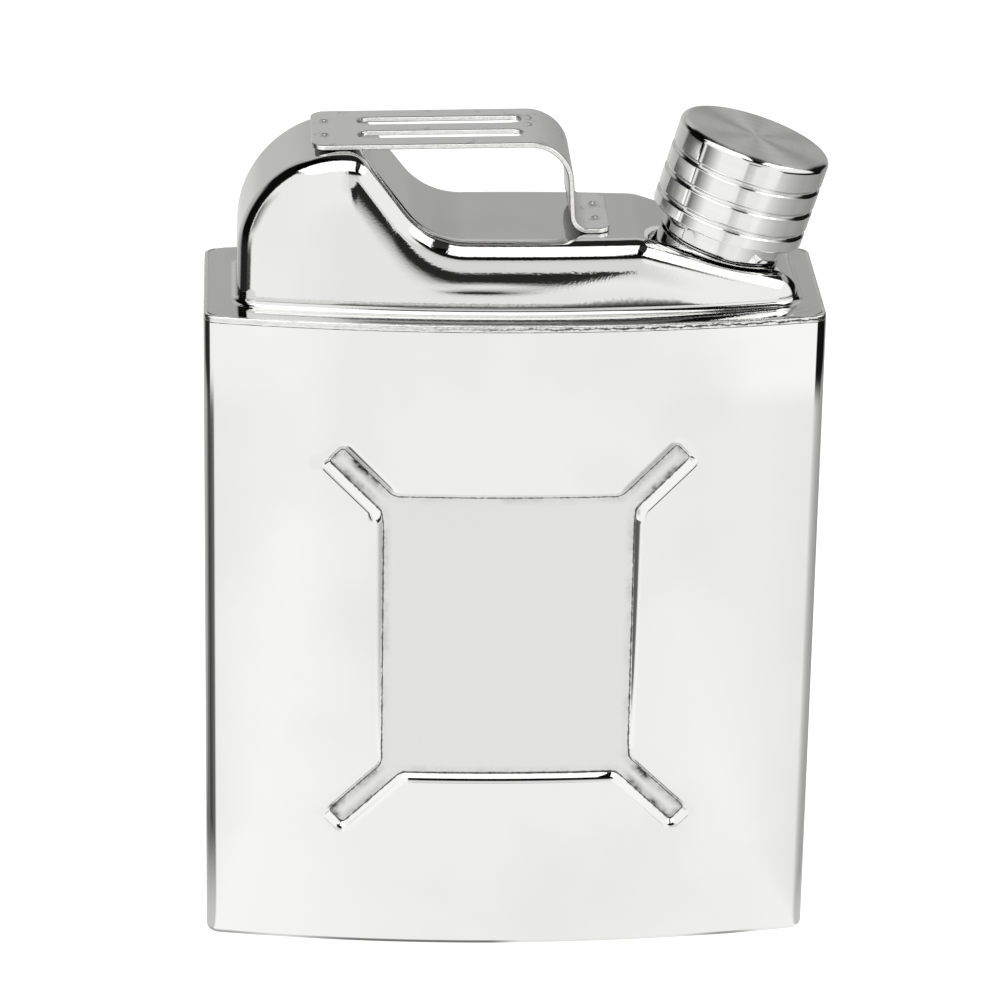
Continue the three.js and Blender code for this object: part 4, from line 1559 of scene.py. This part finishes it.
        out_s, out_t = slopes(self.distance)
        place, normal = path.at(np.clip(s, 0, length))
        up = stack(normal[..., 0], 0.0, normal[..., 1])
        ahead = stack(normal[..., 1], 0.0, -normal[..., 0])
        across = np.array([0, 1.0, 0])
        outward = unit(ahead * out_s[..., None] + across * out_t[..., None])
        lost = np.clip(1 + gap / self.edge_radius, 0, 1)
        drop = self.edge_radius * (1 - np.sqrt(1 - lost**2))
        relief_s, relief_t = slopes(self.relief)
        top = stack(place[..., 0], t, place[..., 1])
        rounded = up * np.sqrt(1 - 0.85 * lost**2)[..., None] + outward * (0.92 * lost)[..., None]
        upper = top + up * (self.relief(s, t, length) - drop)[..., None]
        upper_n = unit(rounded - ahead * relief_s[..., None] - across * relief_t[..., None])
        lower = top - up * (self.sheet - drop)[..., None]
        lower_n = unit(rounded - 2 * up * np.sqrt(1 - 0.85 * lost**2)[..., None])
        cut = np.clip(lost * 1.2, 0, 1)
        # Painted shade on the underside near the head and the foot, which the dome and the deck mirror.
        underside_shade = np.clip(self.head_shade_reach - s, 0, 1) + np.clip(s - length + self.foot_shade_reach, 0, 2) / 2
        shiny = np.maximum(cut, np.exp(-self.weld_distance(s, t, length) ** 2))
        pattern = stack(s, t)
        walls = wall_quads(upper, lower, outward, kept, set(Rim))
        walls.marks += 1
        return [
            grid_quads(upper, upper_n, shiny, pattern, kept),
            grid_quads(lower, lower_n, np.maximum(cut, 2 * underside_shade * (1 - lost)), pattern, kept),
            walls,
        ]

    def dress(self) -> None:
        """Makes the handle's piece."""
        add_piece("carrying_handle", self.build(), self.finish, Body.FLASK, Slot.SATIN, "handle")


@dataclass(frozen=True)
class ScrewThread:
    """A single-start ridge of trapezium section that climbs a pitch a turn and fades at its ends."""

    start: float
    turns: float
    pitch: float = 2.5
    depth: float = 0.7
    base: float = 1.2
    tip: float = 0.6
    fade: float = radians(45)

    def height(self, angle: Array, along: Array) -> Array:
        """Height of the ridge: the trapezium of the axial distance from the nearest turn, faded."""
        phase = (along - self.start) / self.pitch - angle / (2 * pi)
        turn = np.round(phase)
        aside = np.abs(phase - turn) * self.pitch
        climbed = turn + angle / (2 * pi)
        fade = np.minimum(climbed, self.turns - climbed) * 2 * pi / self.fade
        flank = (self.base / 2 - aside) / ((self.base - self.tip) / 2)
        profile = -soft_min(-flank, np.zeros_like(flank), 0.3)
        profile = soft_min(profile, np.ones_like(profile), 0.3)
        return self.depth * np.clip(profile, 0, 1) * np.clip(fade, 0, 1)


@dataclass
class Spout:
    """Everything turned on the neck's axis: the neck, the screw cap and its sealing ring."""

    steel_finish: Material
    seal_finish: Material
    shoulder: Shoulder
    sheet: float = 0.6
    fit: float = 0.3
    neck_radius: float = 8.45
    neck_wall: float = 1.5
    neck_step: float = 0.7
    neck_spigot: float = 1.5
    neck_show: float = 2.9
    neck_chamfer: float = 0.4
    cap_wall: float = 0.7
    cap_length: float = 12.65
    cap_top: float = 1.4
    cap_edge: float = 1.0
    groove_count: int = 3
    groove_width: float = 0.95
    groove_depth: float = 0.4
    groove_flank: float = 0.36
    groove_first: float = 1.65
    groove_pitch: float = 3.25
    seal_thickness: float = 1.5
    seal_width: float = 3.6
    seal_corner: float = 0.25
    thread_foot: float = 2.95
    thread_lead: float = 1.2
    edge: float = 0.12
    section_step: float = 0.16
    section_bend: float = radians(10)
    turn_steps: int = 180

    @property
    def ceiling(self) -> float:
        """Underside of the cap's end wall, along the axis from the slope."""
        return self.neck_show + self.cap_length - self.cap_top

    @property
    def neck_top(self) -> float:
        """The neck's rim."""
        return self.ceiling - self.seal_thickness - 2 * self.fit

    @property
    def bore(self) -> float:
        """Radius of the cap's bore, clear of the neck's thread."""
        return self.neck_radius + ScrewThread.depth + self.fit

    @property
    def thread(self) -> ScrewThread:
        """The neck's thread."""
        start = self.neck_show + self.thread_foot
        return ScrewThread(start, (self.neck_top - self.thread_lead - start) / ScrewThread.pitch)

    def turned(self, corners: list[tuple[float, float, float]], thread: ScrewThread | None = None,
               side: ThreadSide = ThreadSide.OUTSIDE, root: float = 0.0) -> list[Quads]:
        """Section of radius and height carried round the neck's axis, with a thread on one wall.

        A point's radius grows or shrinks by the thread's height where its section stands at the root,
        and its normal leans by the slopes of that height.

        Args:
            corners: Corners of the closed section, counter-clockwise, as radius, height and rounding.
            thread: Thread that stands on the section, or none.
            side: Whether the thread stands out of the section or into its bore.
            root: Radius of the wall that the thread stands on.

        Returns:
            The faces.
        """
        section = closed_path(corners, self.section_step, self.section_bend)
        angle = np.linspace(0, 2 * pi, self.turn_steps + 1)[None]
        radius, along = section.points[:, 0, None], section.points[:, 1, None]
        out, up = -section.normals[:, 0, None], -section.normals[:, 1, None]
        grown = np.broadcast_to(radius, (len(radius), angle.size)).copy()
        lean_up = np.zeros_like(grown)
        lean_round = np.zeros_like(grown)
        if thread is not None:
            wall = (np.abs(radius - root) < 0.01) & (np.abs(up) < 0.01)
            grown += side.value * thread.height(angle, along) * wall
            lean_up = thread.height(angle, along + PROBE) - thread.height(angle, along - PROBE)
            swing = PROBE / max(root, 1)
            lean_round = thread.height(angle + swing, along) - thread.height(angle - swing, along)
            lean_up, lean_round = (-lean * wall / (2 * PROBE) for lean in (lean_up, lean_round))
        cosine, sine = np.cos(angle), np.sin(angle)
        points = stack(grown * cosine, grown * sine, along)
        facing_x, facing_y = out * cosine - lean_round * sine, out * sine + lean_round * cosine
        normals = unit(stack(facing_x, facing_y, up + lean_up))
        lean = self.shoulder.lean
        stand = np.array([[cos(lean), 0, -sin(lean)], [0, 1, 0], [sin(lean), 0, cos(lean)]])
        foot_x, foot_z = self.shoulder.neck_foot
        pattern = stack(section.length[:, None], angle * self.neck_radius)
        ends = np.broadcast_to(np.clip(up, 0, 1) ** 4, grown.shape)
        placed = points @ stand + np.array([foot_x, 0, foot_z])
        return [grid_quads(placed, normals @ stand, ends, pattern)]

    def build_neck(self) -> list[Quads]:
        """Neck: a bored spigot and collar with an external thread."""
        bore = self.neck_radius - self.neck_wall
        spigot = self.neck_radius - self.neck_step
        end = -self.sheet - self.neck_spigot
        return self.turned([
            (bore, end, self.edge),
            (spigot, end, self.edge),
            (spigot, self.fit, self.edge),
            (self.neck_radius, self.fit, self.edge),
            (self.neck_radius, self.neck_top - self.neck_chamfer, self.edge),
            (self.neck_radius - self.neck_chamfer, self.neck_top, self.edge),
            (bore, self.neck_top, self.edge),
        ], self.thread, ThreadSide.OUTSIDE, self.neck_radius)

    def build_cap(self) -> list[Quads]:
        """Cap: a grooved cup with an internal thread between the turns of the neck's."""
        outer = self.bore + self.cap_wall + self.groove_depth
        floor = outer - self.groove_depth
        top = self.neck_show + self.cap_length
        corners = [
            (0.0, self.ceiling, 0.0),
            (self.bore, self.ceiling, self.edge),
            (self.bore, self.neck_show, self.edge),
            (outer, self.neck_show, 2 * self.edge),
        ]
        for i in range(self.groove_count):
            low = self.neck_show + self.groove_first + i * self.groove_pitch
            high = low + self.groove_width
            corners += [
                (outer, low, self.edge),
                (floor, low + self.groove_flank, self.edge),
                (floor, high - self.groove_flank, self.edge),
                (outer, high, self.edge),
            ]
        corners += [(outer, top, self.cap_edge), (0.0, top, 0.0)]
        neck = self.thread
        inner = ScrewThread(neck.start - neck.pitch / 2, neck.turns)
        return self.turned(corners, inner, ThreadSide.INSIDE, self.bore)

    def build_seal(self) -> list[Quads]:
        """Sealing ring under the cap's end wall, with soft corners."""
        rim = self.bore - self.fit
        high = self.ceiling - self.fit
        low = high - self.seal_thickness
        hole = rim - self.seal_width
        around = ((hole, low), (rim, low), (rim, high), (hole, high))
        return self.turned([(*corner, self.seal_corner) for corner in around])

    def dress(self) -> None:
        """Makes the spout's pieces."""
        steel, silicone = self.steel_finish, self.seal_finish
        add_piece("spout_neck", self.build_neck(), steel, Body.FLASK, Slot.TURNED, "neck_spout")
        add_piece("screw_cap", self.build_cap(), steel, Body.CAP, Slot.TURNED, "cap_shell")
        add_piece("sealing_ring", self.build_seal(), silicone, Body.SEAL, Slot.SILICONE, "cap_gasket")


@dataclass(frozen=True)
class FloorLine:
    """A line on the floor that runs to the camera's side: a place on it in metres, and its bearing."""

    x: float
    y: float
    bearing: float

    def right(self, tree: NodeTree, place: NodeSocket, soft: float) -> NodeSocket:
        """Share of the floor to the right of the line.

        The distance from the line is the dot product of a place with the line's normal, less that of
        the line's own place.

        Args:
            tree: Node tree that gets the nodes.
            place: Places on the floor.
            soft: Half of the width over which the share changes.

        Returns:
            Socket of the share.
        """
        turn = radians(self.bearing)
        normal = (cos(turn), -sin(turn), 0)
        aside = add_node(tree, "VectorMath", {0: place, 1: normal}, operation="DOT_PRODUCT")
        own = self.x * normal[0] + self.y * normal[1]
        return add_node(tree, "MapRange", {
            "Value": aside, "From Min": own - soft, "From Max": own + soft,
        }, interpolation_type="SMOOTHSTEP")


@dataclass
class Studio:
    """Plain white floor, soft light and the camera at the photograph's angle.

    What reflections see is told by bearings: 0 degrees is the camera's side, 90 the left, -90 the
    right and 180 behind, each with a brightness. There are a softbox on each side and two overhead, a
    grey wall behind that is dark near the ceiling, a dark room on the camera's side, and a round white
    table whose brightness falls off to the sides. The world's tiers blend over the rises named here.
    """

    eye: tuple[float, float, float] = (-36.8, -670.1, 341.9)
    yaw: float = radians(3.06)
    pitch: float = radians(22.75)
    roll: float = radians(-1.03)
    focal_pixels: float = 5233.0
    image_pixels: float = 1001.0
    sensor: float = 36.0
    floor_size: float = 12.0
    box_height: float = 0.75
    boxes_x: tuple[tuple[float, float], ...] = ((-0.6, 0.19), (0.4, 0.95))
    box_y: tuple[float, float] = (-0.74, 0.04)
    box_glow: float = 1.35
    table_radius: float = 0.5
    table_soft: float = 0.26
    contact_reach: float = 0.0006
    contact_patch: float = 28.0
    contact_light: tuple[float, float] = (0.2, 0.95)
    foot_reach: float = 0.045
    foot_light: float = 0.6
    side_reach: float = 0.207
    side_soft: float = 0.008
    strip_soft: float = 0.02
    pale_strip: tuple[FloorLine, FloorLine] = (
        FloorLine(-0.005, 0.075, 13.5), FloorLine(-0.005, 0.075, -20.5),
    )
    pale_light: float = 0.93
    dark_strip: tuple[FloorLine, FloorLine] = (
        FloorLine(-0.005, 0.075, 7.0), FloorLine(-0.079, 0.075, -14.0),
    )
    dark_light: float = 0.025
    low_rise: tuple[float, float] = (radians(7), radians(22))
    high_rise: tuple[float, float] = (radians(21), radians(28))
    top_rise: tuple[float, float] = (radians(42), radians(49))
    top_light: float = 0.03
    sides: Bearings = (
        (-180, 0.8), (-160, 0.45), (-130, 0.3), (-90, 0.4), (-60, 0.55), (-40, 0.75), (-28, 0.87),
        (-18, 0.93), (-8, 1.0), (10, 1.0), (20, 0.95), (28, 0.86), (38, 0.16), (60, 0.1), (80, 0.05),
        (88, 0.1), (96, 0.4), (140, 0.5), (160, 0.65), (180, 0.8),
    )
    far_sides: Bearings = (
        (-180, 0.8), (-160, 0.45), (-124, 0.3), (-118, 0.006), (-44, 0.006), (-38, 1.0), (62, 1.0),
        (69, 0.02), (112, 0.02), (122, 0.4), (140, 0.5), (160, 0.65), (180, 0.8),
    )
    beyond: Bearings = (
        (-180, 0.55), (-165, 0.43), (-128, 0.38), (-120, 0.006), (-42, 0.006), (-36, 1.0), (77, 1.0),
        (84, 0.004), (118, 0.004), (128, 0.55), (165, 0.7), (180, 0.55),
    )
    horizon: Bearings = (
        (-180, 0.52), (-160, 0.4), (-148, 0.4), (-142, 0.006), (-104, 0.006), (-98, 1.0), (-24, 1.0),
        (-20, 0.8), (9, 0.8), (13, 1.0), (50, 1.0), (58, 0.75), (75, 0.2), (78, 0.2),
        (80, 0.95), (82, 0.95), (84, 0.004), (118, 0.004), (128, 0.5), (165, 0.58), (180, 0.52),
    )
    low: Bearings = (
        (-180, 0.445), (-168, 0.38), (-158, 0.27), (-148, 0.27), (-142, 0.006), (-104, 0.006),
        (-98, 1.0), (-24, 1.0), (-20, 0.7), (9, 0.7), (13, 1.0), (80, 1.0), (84, 0.004), (134, 0.004),
        (148, 0.4), (165, 0.48), (180, 0.445),
    )
    high: Bearings = (
        (-180, 0.6), (-150, 0.5), (-104, 0.36), (-98, 1.0), (-39, 1.0), (-36, 0.006), (9, 0.006),
        (13, 1.0), (80, 1.0), (84, 0.004), (142, 0.004), (150, 0.48), (180, 0.6),
    )

    @staticmethod
    def round_about(tree: NodeTree, vector: NodeSocket, bearings: Bearings) -> NodeSocket:
        """Brightness by bearing.

        Args:
            tree: Node tree that gets the nodes.
            vector: Place or direction whose bearing counts.
            bearings: Brightness at each bearing, in degrees.

        Returns:
            Socket of the brightness.
        """
        axes = add_node(tree, "SeparateXYZ", {"Vector": vector}).node.outputs
        left = add_node(tree, "Math", {0: axes["X"], 1: -1.0}, operation="MULTIPLY")
        front = add_node(tree, "Math", {0: axes["Y"], 1: -1.0}, operation="MULTIPLY")
        angle = add_node(tree, "Math", {0: left, 1: front}, operation="ARCTAN2")
        turn = add_node(tree, "MapRange", {"Value": angle, "From Min": -pi, "From Max": pi})
        ramp = add_node(tree, "ValToRGB", {"Fac": turn})
        stops = ramp.node.color_ramp.elements
        for k, (bearing, brightness) in enumerate(bearings):
            stop = stops[k] if k < len(stops) else stops.new(1.0)
            stop.position = bearing / 360 + 0.5
            stop.color = (brightness, brightness, brightness, 1)
        return ramp

    def add_camera(self) -> None:
        """Camera: its axes follow from yaw, then pitch, then roll."""
        ahead = np.array([sin(self.yaw), cos(self.yaw), 0])
        aside = np.array([cos(self.yaw), -sin(self.yaw), 0])
        rise = np.array([0, 0, 1])
        forward = cos(self.pitch) * ahead - sin(self.pitch) * rise
        down = -sin(self.pitch) * ahead - cos(self.pitch) * rise
        right = cos(self.roll) * aside + sin(self.roll) * down
        down = -sin(self.roll) * aside + cos(self.roll) * down
        data = bpy.data.cameras.new("photo_camera")
        data.sensor_width = self.sensor
        data.lens = self.focal_pixels / self.image_pixels * self.sensor
        data.clip_start = 0.01
        data.clip_end = 100
        camera = bpy.data.objects.new("photo_camera", data)
        turn = Matrix([[right[k], -down[k], -forward[k]] for k in range(3)]).to_4x4()
        camera.matrix_world = Matrix.Translation(Vector(self.eye) * MM) @ turn
        bpy.context.scene.collection.objects.link(camera)
        bpy.context.scene.camera = camera

    def beside_foot(self, tree: NodeTree, place: NodeSocket) -> NodeSocket:
        """Way from the nearest place of the foot to each place on the floor.

        The foot is as wide as the body, and its half depth falls from the middle with the square of x.
        """
        plan = Plan()
        axes = add_node(tree, "SeparateXYZ", {"Vector": place}).node.outputs
        side = plan.width / 2 * MM
        near_x = add_node(tree, "Clamp", {"Value": axes["X"], "Min": -side, "Max": side})
        square = add_node(tree, "Math", {0: near_x, 1: near_x}, operation="MULTIPLY")
        depth = add_node(tree, "Math", {
            0: square, 1: -1 / (2 * plan.radius * MM), 2: (plan.side_depth / 2 + plan.bow) * MM,
        }, operation="MULTIPLY_ADD")
        front = add_node(tree, "Math", {0: depth, 1: -1.0}, operation="MULTIPLY")
        near_y = add_node(tree, "Clamp", {"Value": axes["Y"], "Min": front, "Max": depth})
        near = add_node(tree, "CombineXYZ", {"X": near_x, "Y": near_y})
        return add_node(tree, "VectorMath", {0: place, 1: near}, operation="SUBTRACT")

    def strip_light(self, tree: NodeTree, place: NodeSocket, strip: tuple[FloorLine, FloorLine],
                    light: float) -> NodeSocket:
        """Brightness of the floor with a strip between two lines: light inside it and 1 outside."""
        left, right = (line.right(tree, place, self.strip_soft) for line in strip)
        rest = add_node(tree, "Math", {0: 1.0, 1: right}, operation="SUBTRACT")
        share = add_node(tree, "Math", {0: left, 1: rest}, operation="MULTIPLY")
        return add_node(tree, "MapRange", {"Value": share, "To Min": 1.0, "To Max": light})

    def floor_light(self, tree: NodeTree, place: NodeSocket) -> NodeSocket:
        """Brightness of the floor in reflections.

        On the table it goes by the bearing from the foot, is never very dark close to it and is dark
        right at it. Past the table's edge it goes by the bearing from the middle, and turns into the
        horizon as the distance grows.

        Args:
            tree: Node tree that gets the nodes.
            place: Places on the floor.

        Returns:
            Socket of the brightness.
        """
        aside = self.beside_foot(tree, place)
        gap = add_node(tree, "VectorMath", {0: aside}, operation="LENGTH")
        away = add_node(tree, "VectorMath", {0: place}, operation="LENGTH")
        near, far = (self.round_about(tree, aside, ramp) for ramp in (self.sides, self.far_sides))
        room, rim = (self.round_about(tree, place, ramp) for ramp in (self.beyond, self.horizon))
        nearness = add_node(tree, "Math", {0: self.table_radius, 1: away}, operation="DIVIDE")
        past = add_node(tree, "MapRange", {
            "Value": nearness, "From Min": 0.15, "From Max": 0.9, "To Min": rim, "To Max": room,
        }, interpolation_type="SMOOTHSTEP")
        sides = add_node(tree, "MapRange", {
            "Value": gap, "From Min": self.side_reach - self.side_soft,
            "From Max": self.side_reach + self.side_soft, "To Min": near, "To Max": far,
        }, interpolation_type="SMOOTHSTEP")
        least = add_node(tree, "MapRange", {
            "Value": gap, "From Max": self.foot_reach, "To Min": self.foot_light, "To Max": 0.0,
        }, interpolation_type="SMOOTHSTEP")
        lit = add_node(tree, "Math", {0: sides, 1: least}, operation="MAXIMUM")
        pale = self.strip_light(tree, place, self.pale_strip, self.pale_light)
        table = add_node(tree, "Math", {0: lit, 1: pale}, operation="MULTIPLY")
        across = add_node(tree, "SeparateXYZ", {"Vector": place})
        uneven = add_node(tree, "TexNoise", {
            "W": across, "Scale": per_metre(self.contact_patch), "Detail": 1,
        }, noise_dimensions="1D")
        touching = add_node(tree, "MapRange", {
            "Value": uneven, "From Min": 0.4, "From Max": 0.6,
            "To Min": self.contact_light[0], "To Max": self.contact_light[1],
        }, interpolation_type="SMOOTHSTEP")
        contact = add_node(tree, "MapRange", {
            "Value": gap, "From Max": self.contact_reach, "To Min": touching,
        }, interpolation_type="SMOOTHSTEP")
        shaded = add_node(tree, "Math", {0: table, 1: contact}, operation="MULTIPLY")
        dark = self.strip_light(tree, place, self.dark_strip, self.dark_light)
        beyond = add_node(tree, "Math", {0: past, 1: dark}, operation="MULTIPLY")
        return add_node(tree, "MapRange", {
            "Value": away, "From Min": self.table_radius - self.table_soft,
            "From Max": self.table_radius + self.table_soft, "To Min": shaded, "To Max": beyond,
        }, interpolation_type="SMOOTHSTEP")

    def floor_material(self) -> Material:
        """White floor: plain white with a faint shadow to the camera, and the table to reflections."""
        material, tree = new_material("Studio_table_white")
        rays = add_node(tree, "LightPath").node.outputs
        place = add_node(tree, "TexCoord", out="Object")
        seen = add_node(tree, "Emission", {"Color": (1, 1, 1, 1), "Strength": 0.9})
        lit = add_node(tree, "BsdfDiffuse", {"Color": linear("#D8D8D8")})
        shown = add_node(tree, "AddShader", {0: seen, 1: lit})
        light = self.floor_light(tree, place)
        mirrored = add_node(tree, "Emission", {"Color": (1, 1, 1, 1), "Strength": light})
        glossy = add_node(tree, "Math", {
            0: rays["Is Glossy Ray"], 1: rays["Is Transmission Ray"],
        }, operation="MAXIMUM")
        other = add_node(tree, "MixShader", {0: glossy, 1: lit, 2: mirrored})
        both = add_node(tree, "MixShader", {0: rays["Is Camera Ray"], 1: other, 2: shown})
        add_node(tree, "OutputMaterial", {"Surface": both})
        return material

    def add_floor(self) -> None:
        """Floor: a flat square under the flask."""
        half = self.floor_size / 2
        mesh = bpy.data.meshes.new("floor")
        corners = [(-half, -half, 0), (half, -half, 0), (half, half, 0), (-half, half, 0)]
        mesh.from_pydata(corners, [], [(0, 1, 2, 3)])
        mesh.materials.append(self.floor_material())
        floor = bpy.data.objects.new("floor", mesh)
        bpy.context.scene.collection.objects.link(floor)

    def add_softboxes(self) -> None:
        """Softboxes: wide rectangles of even light overhead with a gap, unseen by the camera."""
        for left, right in self.boxes_x:
            data = bpy.data.lights.new("overhead_softbox", "AREA")
            data.shape = "RECTANGLE"
            data.size = right - left
            data.size_y = self.box_y[1] - self.box_y[0]
            data.energy = self.box_glow * pi * data.size * data.size_y
            lamp = bpy.data.objects.new("overhead_softbox", data)
            lamp.location = ((left + right) / 2, sum(self.box_y) / 2, self.box_height)
            lamp.visible_camera = False
            bpy.context.scene.collection.objects.link(lamp)

    def add_world(self) -> None:
        """World: white to the camera, and the studio's walls and softboxes to everything else."""
        world = bpy.data.worlds.new("studio")
        world.use_nodes = True
        tree = world.node_tree
        tree.nodes.clear()
        direction = add_node(tree, "TexCoord", out="Generated")
        rise = add_node(tree, "SeparateXYZ", {"Vector": direction}, out="Z")
        shade = self.round_about(tree, direction, self.horizon)
        for bearings, (start, end) in ((self.low, self.low_rise), (self.high, self.high_rise)):
            share = add_node(tree, "MapRange", {
                "Value": rise, "From Min": sin(start), "From Max": sin(end),
            }, interpolation_type="SMOOTHSTEP")
            shade = add_node(tree, "Mix", {
                "Factor": share, "A": shade, "B": self.round_about(tree, direction, bearings),
            }, data_type="RGBA")
        top = add_node(tree, "MapRange", {
            "Value": rise, "From Min": sin(self.top_rise[0]), "From Max": sin(self.top_rise[1]),
            "To Min": 1.0, "To Max": self.top_light,
        }, interpolation_type="SMOOTHSTEP")
        camera = add_node(tree, "LightPath", out="Is Camera Ray")
        seen = add_node(tree, "Background", {"Color": (1, 1, 1, 1), "Strength": 1})
        studio = add_node(tree, "Background", {"Color": shade, "Strength": top})
        both = add_node(tree, "MixShader", {0: camera, 1: studio, 2: seen})
        add_node(tree, "OutputWorld", {"Surface": both})
        bpy.context.scene.world = world

    def dress(self) -> None:
        """Sets the stage."""
        bpy.context.scene.view_settings.view_transform = "Standard"
        self.add_camera()
        self.add_floor()
        self.add_softboxes()
        self.add_world()


def main() -> None:
    """Builds the stage and every sub-assembly in order."""
    logging.basicConfig(level=logging.INFO, format="%(name)s %(message)s")
    Studio().dress()
    mirror = MirrorSheet().build()
    drawn = MirrorSheet(
        name="Stainless_steel_deep_drawn_polished", colour="#EDEDEB", hazy_colour="#E9E9E7",
        peel_height=0.0035, crease_dark_spread=(0.85, 1.3),
    ).build()
    turned = TurnedSteel().build()
    shoulder = Shoulder(drawn)
    Can(mirror, DressedWeld().build()).dress()
    shoulder.dress()
    Handle(SatinStrip().build(), shoulder).dress()
    Spout(turned, SiliconeRubber().build(), shoulder).dress()


if __name__ == "__main__":
    main()
